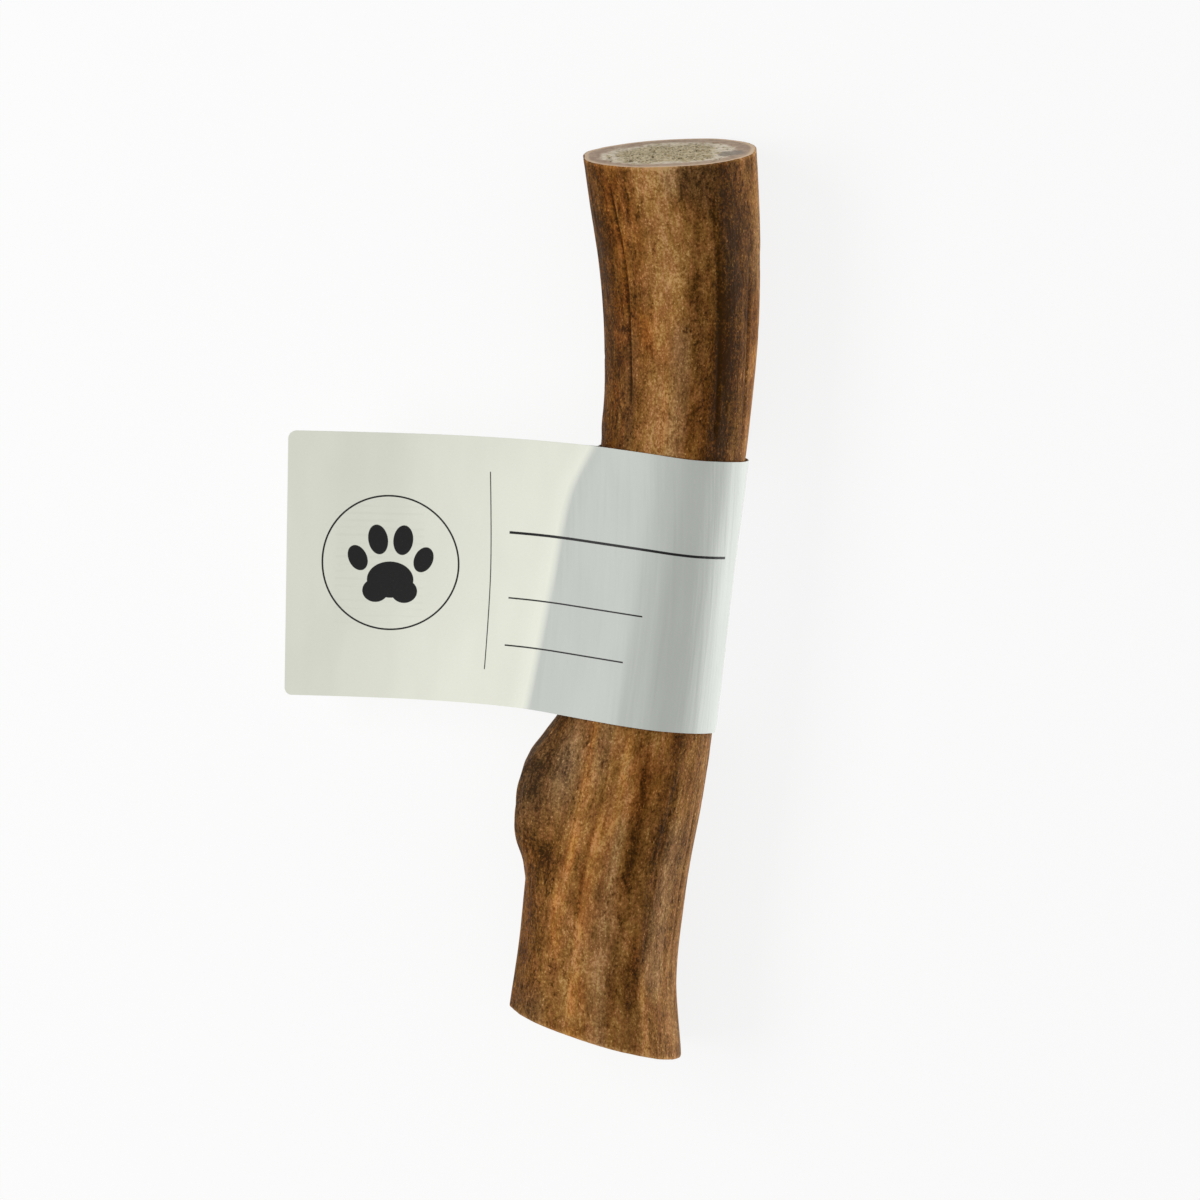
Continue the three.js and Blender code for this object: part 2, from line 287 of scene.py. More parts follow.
# Round the beam, how far the strip slides to the lower end, at its lower edge and how much more at its
# upper one, and within how many degrees of the front seam
WRAP_DROP = {"low": 0.15, "more": 0.25, "reach": 60}

# How far apart the middles of two layers of paper are, and how far the wrap is off the horn
LAYER_SPACING = 0.13
CLEARANCE = 0.10

# The waves of the paper round the beam: their mean, in crinkle heights, and how soon they start, in degrees
CRINKLE_MEAN = 1.5
CRINKLE_FADE = 25

# Where the strip leaves the beam: the range and number of angles that are tried
TOUCH_ANGLES = (180, 60)
TOUCH_COUNT = 481

# How the strip is smoothed at the seam, and how soft the edge from double to single paper is on the side
# of the flag and on the side of the beam
SEAM_SMOOTHING = {"reach": 3.5, "passes": 14, "weight": 0.9}
SINGLE_EDGE = {"flag": 0.7, "beam": 0.9}

# The mesh of the label, and the angle in degrees from which its edges are sharp
LABEL_ROWS = 56
CORNER_COLUMNS = 9
FLAG_COLUMNS = 56
FACET_COLUMNS = 18
WRAP_COLUMNS = 130
SHARP_ANGLE = 35

# What is printed on the label: places from the free end and from the lower edge, in millimetres
DIVIDER = {"middle": (34.2, 22.7), "half": (0.085, 16.7)}
WRITING_LINES = (
    {"middle": (56.9, 29.4), "half": (19.6, 0.22)},
    {"middle": (49.4, 18.4), "half": (12.0, 0.13)},
    {"middle": (48.1, 10.4), "half": (10.8, 0.13)},
)
BADGE = {"middle": (17.4, 23.2), "radius": 11.4, "line": 0.3}
PAW_PADS = (
    {"middle": (17.4, 20.3), "half": (3.9, 3.1), "turn": 0},
    {"middle": (15.0, 18.4), "half": (2.2, 2.0), "turn": 0},
    {"middle": (19.8, 18.4), "half": (2.2, 2.0), "turn": 0},
    {"middle": (11.9, 23.9), "half": (1.55, 2.25), "turn": 24},
    {"middle": (15.3, 27.1), "half": (1.65, 2.55), "turn": 8},
    {"middle": (19.5, 27.1), "half": (1.65, 2.55), "turn": -8},
    {"middle": (22.9, 23.9), "half": (1.55, 2.25), "turn": -24},
)
PRINT_EDGE = 0.04

# Faint lines that show through the paper from behind
GHOST_BARS = {"middle": (15.6, 23.0), "half": (7.4, 11.0), "pitch": 1.25}

# The camera looks down on the antler. Its target and frame are in millimetres.
CAMERA_TARGET = (13.03, 0.22, 12.6)
FRAME_WIDTH = 200.0

# The studio, in metres: half the floor's side, its height, and how rough and shiny it is, the camera's
# clipping range, and the sizes and places of the lights. The low panel faces up, and is turned by an
# angle in degrees.
FLOOR_HALF = 6.0
FLOOR_HEIGHT = -0.00005
FLOOR_ROUGHNESS = 0.9
FLOOR_SHINE = 0.1
CLIP_RANGE = (0.05, 50.0)
KEY_LIGHT = {"size": (0.9, 0.35), "place": (-0.72, 0.10, 0.70)}
LOW_PANEL = {"size": (0.12, 0.5), "place": (0.120, 0.0, 0.0006), "turn": -4.9}


def ease(t):
    """The curve from 0 to 1 that starts and ends level: 6 t^5 - 15 t^4 + 10 t^3."""
    return t * t * t * (t * (6 * t - 15) + 10)


def soft_step(value, low, high):
    """0 below low, 1 above high, and the easing curve between them."""
    return ease(np.clip((value - low) / (high - low), 0, 1))


def bell(distance, reach):
    """A half bell: the squared cosine that is 1 at no distance and 0 from the reach on."""
    return np.cos(np.clip(np.abs(distance) / reach, 0, 1) * np.pi / 2) ** 2


def signed_power(value, power):
    """The size of the value to a power, with the value's own sign."""
    return np.sign(value) * np.abs(value) ** power


def smooth(table, y):
    """The columns of a table at y, after its first: cubics with slopes from the rows on both sides.

    Between two rows the value is a Hermite cubic. The slope at a row is the rise from the row before it
    to the row after it, over their distance.
    """
    places = table[:, 0]
    count = len(places)
    after = np.minimum(np.arange(count) + 1, count - 1)
    before = np.maximum(np.arange(count) - 1, 0)
    slopes = (table[after] - table[before]) / (places[after] - places[before])[:, None]
    place = np.clip(y, places[0], places[-1])
    row = np.clip(np.searchsorted(places, place) - 1, 0, count - 2)
    span = (places[row + 1] - places[row])[..., None]
    t = (place - places[row])[..., None] / span
    value = (
        (2 * t**3 - 3 * t**2 + 1) * table[row]
        + (t**3 - 2 * t**2 + t) * span * slopes[row]
        + (3 * t**2 - 2 * t**3) * table[row + 1]
        + (t**3 - t**2) * span * slopes[row + 1]
    )
    return np.moveaxis(value[..., 1:], -1, 0)


def section(y):
    """The beam's measures at y, by name."""
    return dict(zip(SECTION_FIELDS[1:], smooth(BEAM_SECTIONS, np.asarray(y, float))))


def section_point(y, across, up):
    """Points in the plane of the section at y: across to the right of its middle, up above it."""
    at = section(y)
    slant = np.radians(at["slant"])
    lean = np.radians(at["lean"])
    return np.stack(np.broadcast_arrays(
        at["x"] + across * np.cos(slant) - up * np.sin(lean) * np.sin(slant),
        y - across * np.sin(slant) - up * np.sin(lean) * np.cos(slant),
        MIDDLE_HEIGHT + up * np.cos(lean),
    ), axis=-1)


def section_normal(y):
    """The unit vector square to the section's plane, towards the upper end."""
    slant = np.radians(section(y)["slant"])
    lean = np.radians(section(y)["lean"])
    across = np.array([np.cos(slant), -np.sin(slant), 0.0])
    up = np.array([-np.sin(lean) * np.sin(slant), -np.sin(lean) * np.cos(slant), np.cos(lean)])
    return np.cross(up, across)


def oval(y, angle, outwards):
    """The smooth oval of the section at y, as across and up, at an angle: 0 is right and 90 is front.

    The front is half an ellipse. The back is half a superellipse, skewed to the right by the square of
    its depth and flat where it would pass below the floor. Outwards makes both half axes longer.
    """
    at = section(y)
    turn = np.radians(angle)
    is_front = np.sin(turn) >= 0
    power = 2 / np.where(is_front, 2, at["square"])
    depth = np.where(is_front, at["front"], at["back"]) + outwards
    up_share = signed_power(np.sin(turn), power)
    across = (at["half"] + outwards) * signed_power(np.cos(turn), power)
    across = across + BACK_SKEW * np.minimum(up_share, 0) ** 2
    up = np.maximum(depth * up_share, -MIDDLE_HEIGHT / np.cos(np.radians(at["lean"])))
    return across, up


def oval_point(y, angle, outwards):
    """Points on the oval of the section at y."""
    return section_point(y, *oval(y, angle, outwards))


def lattice_noise(around, along, cells_around, cells_along, seed):
    """Smooth random values from -1 to 1 that close round the beam.

    Each point of a lattice has a random value, and between points the four nearest are blended with the
    easing curve. Around and along run from 0 to 1 over the whole lattice.
    """
    values = np.random.default_rng(seed).uniform(-1, 1, (cells_along + 2, cells_around))
    u, v = np.broadcast_arrays(around * cells_around, np.clip(along, 0, 1) * cells_along)
    column = np.floor(u).astype(int)
    row = np.floor(v).astype(int)
    share_u = ease(u - column)
    share_v = ease(v - row)
    left = column % cells_around
    right = (column + 1) % cells_around
    lower = values[row, left] * (1 - share_u) + values[row, right] * share_u
    upper = values[row + 1, left] * (1 - share_u) + values[row + 1, right] * share_u
    return lower * (1 - share_v) + upper * share_v


def named_noise(name, around, along):
    """One of the named noises, times its strength."""
    noise = NOISES[name]
    return noise["strength"] * lattice_noise(around, along, *noise["cells"], noise["seed"])


def beam_shares(y, angle):
    """Where a point lies round and along the beam, both from 0 to 1."""
    return (np.asarray(angle) / 360) % 1, (y - LOW_END) / (HIGH_END - LOW_END)


def angle_between(angle, other):
    """The signed difference of two angles, from -180 to 180 degrees."""
    return (angle - other + 180) % 360 - 180


def band(angle, place):
    """A band along the beam: a bell round it, times the band's strength."""
    return place["strength"] * bell(angle_between(angle, place["angle"]), place["reach"])


def patch(y, angle, place):
    """A patch on the beam: a bell round it and a bell along it, times the patch's strength."""
    spread = place["strength"] * bell(angle_between(angle, place["angle"]), place["spread"])
    return spread * bell(y - place["y"], place["length"])


def beside_line(y, angle, mark, wander, fade_range):
    """The angle from the line of a groove or lane, and its strength along the beam.

    The line goes straight from its lower to its upper angle, plus the wander. The strength rises at
    both ends over the same range of shares of its length.
    """
    share = (y - mark["low"]) / (mark["high"] - mark["low"])
    line = mark["angles"][0] + (mark["angles"][1] - mark["angles"][0]) * share + wander
    start, full = fade_range
    fade = soft_step(share, start, full) * (1 - soft_step(share, 1 - full, 1 - start))
    return angle_between(angle, line), fade


def off_back(angle):
    """0 in the middle of the back, and 1 over most of the beam: a cosine of half the angle, cut at 1."""
    return np.minimum(1, np.abs(np.cos(np.radians(angle) / 2 - np.pi / 4)) * BACK_SHARPNESS)


def flute_depth(y, angle, depth):
    """The flutes: a sum of cosines round the beam that turn slowly along it, none at the very back."""
    wave = sum(np.cos(count * (np.radians(angle) + turn * y) + phase) for count, phase, turn in FLUTES)
    share = 0.5 + wave / (2 * len(FLUTES))
    return depth * share * off_back(angle)


def beside_groove(y, angle, groove):
    """The angle from a groove's line, which wanders a little, and the groove's strength along the beam."""
    _, along = beam_shares(y, angle)
    wander = named_noise("groove wander", GROOVE_PLACE, along)
    return beside_line(y, angle, groove, wander, GROOVE_FADE)


def vein_depth(y, angle):
    """The vessel grooves: each is a bell across its line, which fades at its ends."""
    depth = 0
    for groove in VEIN_GROOVES:
        off_line, fade = beside_groove(y, angle, groove)
        depth = depth + groove["depth"] * fade * bell(off_line, groove["width"])
    return depth


def grain_depth(y, angle):
    """The horn's grain, all of it inwards: fine channels, ridges, ripples and small pits.

    Channels lie where a stretched noise crosses zero, as a Gaussian of its value. Ridges, ripples and
    the swell are noises of cells of their own. Pits are the peaks of the finest noise.
    """
    around, along = beam_shares(y, angle)
    fibre = around + named_noise("fibre wander", around, along)
    shares = {
        "channels": np.exp(-(named_noise("channels", fibre, along) / CHANNEL_REACH) ** 2),
        "ridges": 1 + named_noise("ridges", fibre, along),
        "ripples": 1 + named_noise("ripples", fibre, along),
        "swell": 1 + named_noise("swell", around, along),
        "pits": soft_step(named_noise("pits", around, along), *PIT_RANGE),
    }
    return sum(GRAIN_DEPTHS[name] * share for name, share in shares.items())


def stub_wrinkles(y, angle):
    """Knobbly skin on the stub: two noises of small cells, where the stub stands out."""
    around, along = beam_shares(y, angle)
    knobs = named_noise("knobs", around, along) + named_noise("wrinkles", around, along)
    return patch(y, angle, KNOBBLY_SKIN) * knobs


def antler_point(y, angle, outwards, settings):
    """Points of the antler's skin: the oval, less its flutes and grain, with the stub pushed out.

    The oval is first moved out by the grain's mean depth, and a little more at the left outside the
    label. The stub moves a point left by its profile at the point's own y, times a bell round the stub.
    The hollow below the stub is a bell round and along the beam.
    """
    relief = flute_depth(y, angle, settings.flute_depth / MM)
    fine = vein_depth(y, angle) + grain_depth(y, angle) + stub_wrinkles(y, angle)
    relief = relief + fine * off_back(angle) * settings.relief
    past_label = np.maximum(LABEL_LOW - y, y - LABEL_HIGH)
    mean = GRAIN_MEAN + band(angle, LEFT_BULGE) * soft_step(past_label, *BESIDE_LABEL)
    point = oval_point(y, angle, outwards + mean - relief)
    rise = smooth(STUB_PROFILE, point[..., 1])[0] * bell(angle_between(angle, STUB_ANGLE), STUB_SPREAD)
    dent = patch(point[..., 1], angle, HOLLOW)
    turn = np.radians(angle)
    point[..., 0] += rise * np.minimum(np.cos(turn), 0) - dent * np.cos(turn)
    point[..., 2] += (rise * STUB_FRONT_SHARE - dent) * np.sin(turn)
    return point


def round_the_beam():
    """The angles of the antler's grid, as one row."""
    return np.linspace(-180, 180, ROUND_COUNT, endpoint=False)[None, :]


def rim_rows(end, inwards, settings):
    """The rounded edge of a sawn end: a quarter circle from the skin to the sawn face."""
    turn = np.linspace(0, np.pi / 2, RIM_ROWS + 1)[1:, None]
    y = end + inwards * RIM_RADIUS * (1 - np.sin(turn))
    return antler_point(y, round_the_beam(), RIM_RADIUS * (np.cos(turn) - 1), settings)


def core_share(rim_distance, across, up):
    """How spongy the horn is at a point of a sawn face: 0 in the hard outer layer, 1 in the core.

    The layer's inner edge is its depth plus a sine wave across the face and a cosine wave up it.
    """
    wave_across = np.sin(across * LAYER_WAVE_ACROSS["rate"] + LAYER_WAVE_ACROSS["start"])
    wave_up = np.cos(up * LAYER_WAVE_UP["rate"])
    waves = LAYER_WAVE_ACROSS["height"] * wave_across + LAYER_WAVE_UP["height"] * wave_up
    depth = HARD_LAYER["depth"] + waves
    return soft_step(rim_distance, depth - HARD_LAYER["edge"], depth + HARD_LAYER["edge"])


def sawn_face(ring, end, direction):
    """A sawn face as rings that shrink to its middle, with the core's pores and the saw's ripples.

    A ring is the face's edge drawn towards the middle. Pores sink below the plane where two noises of
    small cells are high, more so in the core. The saw left ripples along slanting lines.
    """
    middle = section_point(end, 0.0, 0.0)
    shrink = np.linspace(1, 0, FACE_ROWS + 1)[1:-1, None, None]
    points = middle + (ring - middle) * shrink
    radius = np.linalg.norm(ring - middle, axis=-1)
    rim_distance = radius * (1 - shrink[..., 0])
    across = points[..., 0] - middle[0]
    up = points[..., 2] - middle[2]
    core = core_share(rim_distance, across, up)
    shares = (across + FACE_SQUARE / 2) / FACE_SQUARE, (up + FACE_SQUARE / 2) / FACE_SQUARE
    pores = soft_step(named_noise("pores", *shares), *PORE_RANGE)
    small_pores = soft_step(named_noise("small pores", *shares), *SMALL_PORE_RANGE)
    small_pores = small_pores * (PORES_IN_LAYER + (1 - PORES_IN_LAYER) * core)
    slanting = across * SAW_RIPPLES["across"] + up * SAW_RIPPLES["up"]
    ripples = 1 + np.sin(slanting * SAW_RIPPLES["rate"])
    depth = core * (SUNK["core"] + SUNK["pores"] * pores)
    depth = depth + SUNK["small pores"] * small_pores + SUNK["ripples"] * ripples
    depth = depth * soft_step(rim_distance, *RIM_FADE)
    return points - direction * depth[..., None] * section_normal(end), rim_distance, middle


def stained(y, angle, field):
    """The sum of the stain lanes: each is a bell across its line, frayed by noise and faded at its ends."""
    around, along = beam_shares(y, angle)
    wander = named_noise("lane wander", around, along)
    fray = LANE_COVER + named_noise("lane fray", around, along)
    total = 0
    for lane in STAIN_LANES:
        off_line, fade = beside_line(y, angle, lane, wander, LANE_FADE)
        total = total + lane[field] * fade * bell(off_line, lane["width"]) * fray
    return total


def tone_of_horn(y, angle):
    """How light the horn is: a base tone with broad bands, narrow lanes and long soft streaks.

    A band is a bell round the beam, and the bands of the two parts are blended along it. The streaks are
    noises with long cells. Grooves are darker, and the edges of the sawn ends are lighter.
    """
    around, along = beam_shares(y, angle)
    drift = named_noise("band drift", DRIFT_PLACE, along)
    upper = sum(band(angle - drift, place) for place in UPPER_BANDS)
    lower = sum(band(angle - drift, place) for place in LOWER_BANDS)
    tone = HORN_TONE + lower + (upper - lower) * soft_step(y, *UPPER_BANDS_FROM)
    fibre = around + named_noise("streak wander", around, along)
    tone = tone + named_noise("streaks", fibre, along) + named_noise("threads", fibre, along)
    tone = tone + named_noise("clouds", around, along)
    worn = 1 - soft_step(np.minimum(y - LOW_END, HIGH_END - y), *WORN_RANGE)
    marks = WORN_EDGE * worn + patch(y, angle, PALE_PATCH) + stained(y, angle, "tone")
    return tone + marks + GROOVE_TONE * vein_depth(y, angle)


def ash_of_horn(y, angle):
    """Where the horn is greyish: beside the stub, at the right, and in faint patches elsewhere.

    The upper part has hardly any patches at its left and on its dark right, and less of the grey edge.
    """
    around, along = beam_shares(y, angle)
    stub = np.maximum(patch(y, angle, ASH_BESIDE_STUB), patch(y, angle, ASH_ON_STUB))
    is_upper = soft_step(y, *ASH_UPPER_FROM)
    patches = ASH_PATCHES * soft_step(named_noise("ash patches", around, along), *ASH_RANGE)
    kept = np.clip(1 - is_upper * sum(band(angle, side) for side in ASH_FREE_SIDES), 0, 1)
    edge = band(angle, ASH_EDGE) * (1 - ASH_EDGE_LOSS * is_upper)
    return np.clip(stub + patches * kept + edge, 0, 1)


def warmth_of_horn(y, angle):
    """Where the horn is orange or reddish: in some of the lanes, and in patches elsewhere."""
    around, along = beam_shares(y, angle)
    patches = WARM_PATCHES * soft_step(named_noise("warm patches", around, along), *WARM_RANGE)
    warmth = np.clip(WARMTH + patches + stained(y, angle, "warm"), 0, 1)
    return warmth * (1 - patch(y, angle, COOL_PATCH))


def shade_painted_on_horn(y, angle):
    """Painted shade in the hollow, and along the stub's edge, from 0 to 1: darker colour where shade falls.
    """
    around, along = beam_shares(y, angle)
    fray = PAINTED_SHADE_COVER + named_noise("painted shade fray", around, along)
    return np.clip((patch(y, angle, PAINTED_SHADE_IN_HOLLOW) + patch(y, angle, PAINTED_SHADE_ON_STUB)) * fray, 0, 1)


def grid_faces(rows, columns, close_columns):
    """The quads of a grid of points, as index rows. Closed columns join the last one to the first."""
    last = columns if close_columns else columns - 1
    row, column = np.meshgrid(np.arange(rows - 1), np.arange(last), indexing="ij")
    following = (column + 1) % columns
    corners = (
        row * columns + column,
        (row + 1) * columns + column,
        (row + 1) * columns + following,
        row * columns + following,
    )
    return np.stack(corners, axis=-1).reshape(-1, 4)


def make_piece(name, points, faces, replaced):
    """A smooth mesh object at the origin, from points in millimetres, that stands for a CAD node."""
    mesh = bpy.data.meshes.new(name)
    mesh.from_pydata((np.asarray(points) * MM).tolist(), [], faces)
    mesh.validate()
    mesh.polygons.foreach_set("use_smooth", np.ones(len(mesh.polygons), bool))
    mesh.update()
    piece = bpy.data.objects.new(name, mesh)
    bpy.context.scene.collection.objects.link(piece)
    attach(piece, "root")
    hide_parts(replaced)
    return piece


def add_attribute(mesh, name, kind, domain, values):
    """Stores one value or vector for each point or corner of the mesh."""
    attribute = mesh.attributes.new(name, kind, domain)
    field = "vector" if kind == "FLOAT_VECTOR" else "value"
    attribute.data.foreach_set(field, np.asarray(values, np.float32).ravel())


def build_antler(settings):
    """The antler's mesh: one grid from the middle of the lower face, along the skin, to the upper one.

    Its rows are the rings of the lower sawn face from the middle outwards, its rounded edge, the skin
    along the beam, the upper edge, and the rings of the upper face inwards. A point at each middle
    closes the grid.
    """
    angle = round_the_beam()
    body_y = np.linspace(LOW_END + RIM_RADIUS, HIGH_END - RIM_RADIUS, BODY_ROWS)[:, None]
    body = antler_point(body_y, angle, 0.0, settings)
    low_rim = rim_rows(LOW_END, 1, settings)
    high_rim = rim_rows(HIGH_END, -1, settings)
    low_face, low_distance, low_middle = sawn_face(low_rim[-1], LOW_END, -1)
    high_face, high_distance, high_middle = sawn_face(high_rim[-1], HIGH_END, 1)
    grid = np.concatenate((low_face[::-1], low_rim[::-1], body, high_rim, high_face))
    rows = len(grid)
    points = np.concatenate((grid.reshape(-1, 3), low_middle[None], high_middle[None]))

    quads = grid_faces(rows, ROUND_COUNT, True)
    column = np.arange(ROUND_COUNT)
    following = (column + 1) % ROUND_COUNT
    low_pole = np.full(ROUND_COUNT, rows * ROUND_COUNT)
    last_row = (rows - 1) * ROUND_COUNT
    low_fan = np.stack((low_pole, column, following), axis=-1)
    high_fan = np.stack((last_row + column, low_pole + 1, last_row + following), axis=-1)
    faces = quads.tolist() + low_fan.tolist() + high_fan.tolist()
    piece = make_piece("antler_beam", points, faces, "antler")

    skin_y = np.concatenate((
        np.full((len(low_face) + RIM_ROWS, 1), LOW_END),
        body_y,
        np.full((len(high_face) + RIM_ROWS, 1), HIGH_END),
    ))
    turn = np.radians(angle)
    skin_grain = np.stack(np.broadcast_arrays(
        MEAN_RADIUS * np.cos(turn), MEAN_RADIUS * np.sin(turn), skin_y
    ), axis=-1)
    on_skin = np.zeros((RIM_ROWS + BODY_ROWS + RIM_ROWS, ROUND_COUNT))
    rim_distance = np.concatenate((low_distance[::-1], on_skin, high_distance))
    face_grain = grid - np.where(skin_y[..., None] < 0, low_middle, high_middle)
    pole_distance = np.array([low_distance[-1].mean(), high_distance[-1].mean()])

    def with_poles(values, pole_values):
        """The values of the grid's points, followed by those of the two middles."""
        return np.concatenate((values.reshape(rows * ROUND_COUNT, -1), np.reshape(pole_values, (2, -1))))

    no_place = np.zeros((2, 3))
    corner = np.zeros(len(piece.data.loops), np.int32)
    piece.data.loops.foreach_get("vertex_index", corner)
    face_rows = np.repeat(np.arange(rows - 1), ROUND_COUNT)
    is_sawn = (face_rows < len(low_face)) | (face_rows >= rows - 1 - len(high_face))
    is_sawn = np.concatenate((is_sawn, np.ones(2 * ROUND_COUNT, bool)))
    piece.data.polygons.foreach_set("material_index", is_sawn.astype(np.int32))
    sizes = np.concatenate((np.full(len(quads), 4), np.full(2 * ROUND_COUNT, 3)))
    sawn_corner = np.repeat(is_sawn, sizes)[:, None]
    grain = np.where(
        sawn_corner,
        with_poles(face_grain, no_place)[corner],
        with_poles(skin_grain, no_place)[corner],
    )
    add_attribute(piece.data, "grain", "FLOAT_VECTOR", "CORNER", grain)
    off_line, fade = beside_groove(skin_y, angle, VEIN_GROOVES[0])
    fields = {
        "tone": tone_of_horn(skin_y, angle),
        "ash": ash_of_horn(skin_y, angle),
        "warmth": warmth_of_horn(skin_y, angle),
        # Painted shade: darker colour in the hollow below the stub and along its edge
        "painted_shade": shade_painted_on_horn(skin_y, angle),
        "groove": MEAN_RADIUS * np.radians(off_line),
        "groove_share": fade * bell(off_line, GROOVE_LINE_REACH),
    }
    for name, values in fields.items():
        values = np.broadcast_to(values, (rows, ROUND_COUNT))
        add_attribute(piece.data, name, "FLOAT", "POINT", with_poles(values, np.zeros(2)))
    add_attribute(piece.data, "rim", "FLOAT", "POINT", with_poles(rim_distance, pole_distance))
    return piece


def seam_place(height):
    """Where the flag's two layers part, as across and up in the section's plane."""
    y = LABEL_LOW + (LABEL_HIGH - LABEL_LOW) * height
    along = (height - 0.5) * LABEL_HEIGHT
    across = -section(y)["half"] - smooth(SEAM_PROFILE, y)[0]
    return across, SEAM["rise"] + along * np.sin(np.radians(SEAM["twist"]))


def touch_angle(height, outwards, side):
    """The angle at which a straight line from the seam touches the oval, for each row of the label.

    Of all lines from the seam to points of that side of the oval, it is the steepest one. Side is 1 at
    the front and -1 at the back.
    """
    angles = side * np.linspace(*TOUCH_ANGLES, TOUCH_COUNT)[None, :]
    y = LABEL_LOW + (LABEL_HIGH - LABEL_LOW) * height
    across, up = oval(y, angles, outwards)
    seam_across, seam_up = seam_place(height)
    steepness = side * np.arctan2(up - seam_up, across - seam_across)
    return np.take_along_axis(angles, np.argmax(steepness, axis=1)[None, :], axis=1).reshape(-1, 1)


def flag_point(share, height):
    """The flag's middle surface, from the seam at share 0 to the free end at share 1.

    Each row is a Hermite cubic that leaves the seam and the free end along their own slant and drop.
    The free end is a straight line, turned a little about the length of the flag.
    """
    y = LABEL_LOW + (LABEL_HIGH - LABEL_LOW) * height
    root = section_point(y, *seam_place(height))
    along = (height - 0.5) * LABEL_HEIGHT
    slant = np.radians(FLAG_END["slant"])
    twist = np.radians(FLAG_END["twist"])
    end = np.stack(np.broadcast_arrays(
        FLAG_END["x"] + along * np.cos(twist) * np.sin(slant),
        FLAG_END["y"] + along * np.cos(twist) * np.cos(slant),
        MIDDLE_HEIGHT + FLAG_END["rise"] + along * np.sin(twist),
    ), axis=-1)
    length = np.linalg.norm(end - root, axis=-1, keepdims=True)

    def direction(place):
        """The way that the flag runs at the seam or at its free end, by the slant and drop there."""
        turn = np.radians(place["slant"])
        return np.array([-np.cos(turn), np.sin(turn), -np.tan(np.radians(place["drop"]))])

    s = share[..., None]
    return (
        (2 * s**3 - 3 * s**2 + 1) * root
        + (s**3 - 2 * s**2 + s) * length * direction(SEAM)
        + (3 * s**2 - 2 * s**3) * end
        + (s**3 - s**2) * length * direction(FLAG_END)
    )


def surface_normals(points):
    """Unit normals of a grid of points, square to its steps both ways."""
    along = np.gradient(points, axis=1)
    across = np.gradient(points, axis=0)
    normals = np.cross(along, across)
    return normals / np.linalg.norm(normals, axis=-1, keepdims=True)


def eased(points, passes, weight):
    """Each point drawn towards the mean of its two neighbours along the strip, several times."""
    for _ in range(passes):
        mean = (points[:, :-2] + points[:, 2:]) / 2
        points[:, 1:-1] += weight[:, 1:-1, None] * (mean - points[:, 1:-1])
    return points


def label_surface(settings):
    """The middle surface of the label's strip, with each point's place on the strip.

    A row runs from the free end along the flag's front layer to the seam, straight to where it touches
    the beam, round the beam, straight back to the seam, and along the flag's back layer. The corners of
    the free ends are quarter circles, to which the rows are squeezed.
    """
    radius = settings.corner_radius / MM
    row = np.linspace(0, 1, LABEL_ROWS)[:, None]
    corner = radius * (1 - np.cos(np.linspace(0, np.pi / 2, CORNER_COLUMNS)))
    flag = np.concatenate((corner, np.linspace(radius, FLAG_LENGTH, FLAG_COLUMNS)[1:]))[None, :]
    cut = radius - np.sqrt(np.maximum(radius**2 - np.maximum(radius - flag, 0) ** 2, 0))
    height = cut / LABEL_HEIGHT + (1 - 2 * cut / LABEL_HEIGHT) * row
    middle = flag_point(1 - flag / FLAG_LENGTH, height)
    offset = surface_normals(middle) * LAYER_SPACING / 2

    front = touch_angle(row, CLEARANCE, 1)
    back = touch_angle(row, CLEARANCE, -1)
    angle = front + (back - front) * np.linspace(0, 1, WRAP_COLUMNS)[None, :]
    drop = (WRAP_DROP["low"] + WRAP_DROP["more"] * row) * soft_step(front - angle, 0, WRAP_DROP["reach"])
    y = LABEL_LOW + (LABEL_HIGH - LABEL_LOW) * row - drop
    around, _ = beam_shares(y, angle)
    waves = named_noise("paper waves", around, row) + named_noise("paper ripples", around, row)
    fade = soft_step(front - angle, 0, CRINKLE_FADE) * soft_step(angle - back, 0, CRINKLE_FADE)
    wrap = oval_point(y, angle, CLEARANCE + settings.crinkle / MM * (CRINKLE_MEAN + waves) * fade)
    step = np.linspace(0, 1, FACET_COLUMNS + 1)[None, :-1, None]
    front_facet = (middle + offset)[:, -1:] * (1 - step) + wrap[:, :1] * step
    back_facet = (middle - offset)[:, -1:] * (1 - step) + wrap[:, -1:] * step
    strip = np.concatenate((
        (middle + offset)[:, :-1],
        front_facet,
        wrap,
        back_facet[:, ::-1],
        (middle - offset)[:, -2::-1],
    ), axis=1)

    steps = np.linalg.norm(np.diff(strip, axis=1), axis=-1)
    place = np.concatenate((np.zeros((LABEL_ROWS, 1)), np.cumsum(steps, axis=1)), axis=1)
    flag_count = flag.shape[1]
    seam = place[:, flag_count - 1:flag_count]
    back_seam = place[:, -flag_count:-flag_count + 1]
    reach = SEAM_SMOOTHING["reach"]
    near_seam = np.maximum(bell(place - seam, reach), bell(place - back_seam, reach))
    strip = eased(strip, SEAM_SMOOTHING["passes"], SEAM_SMOOTHING["weight"] * near_seam)
    past_seam = soft_step(place, seam - SINGLE_EDGE["flag"], seam + SINGLE_EDGE["beam"])
    past_back = soft_step(place, back_seam - SINGLE_EDGE["beam"], back_seam + SINGLE_EDGE["flag"])
    single = past_seam * (1 - past_back)
    height = np.concatenate((
        height[:, :-1],
        np.broadcast_to(row, (LABEL_ROWS, strip.shape[1] - 2 * (flag_count - 1))),
        height[:, -2::-1],
    ), axis=1)
    return strip, place, height * LABEL_HEIGHT, single


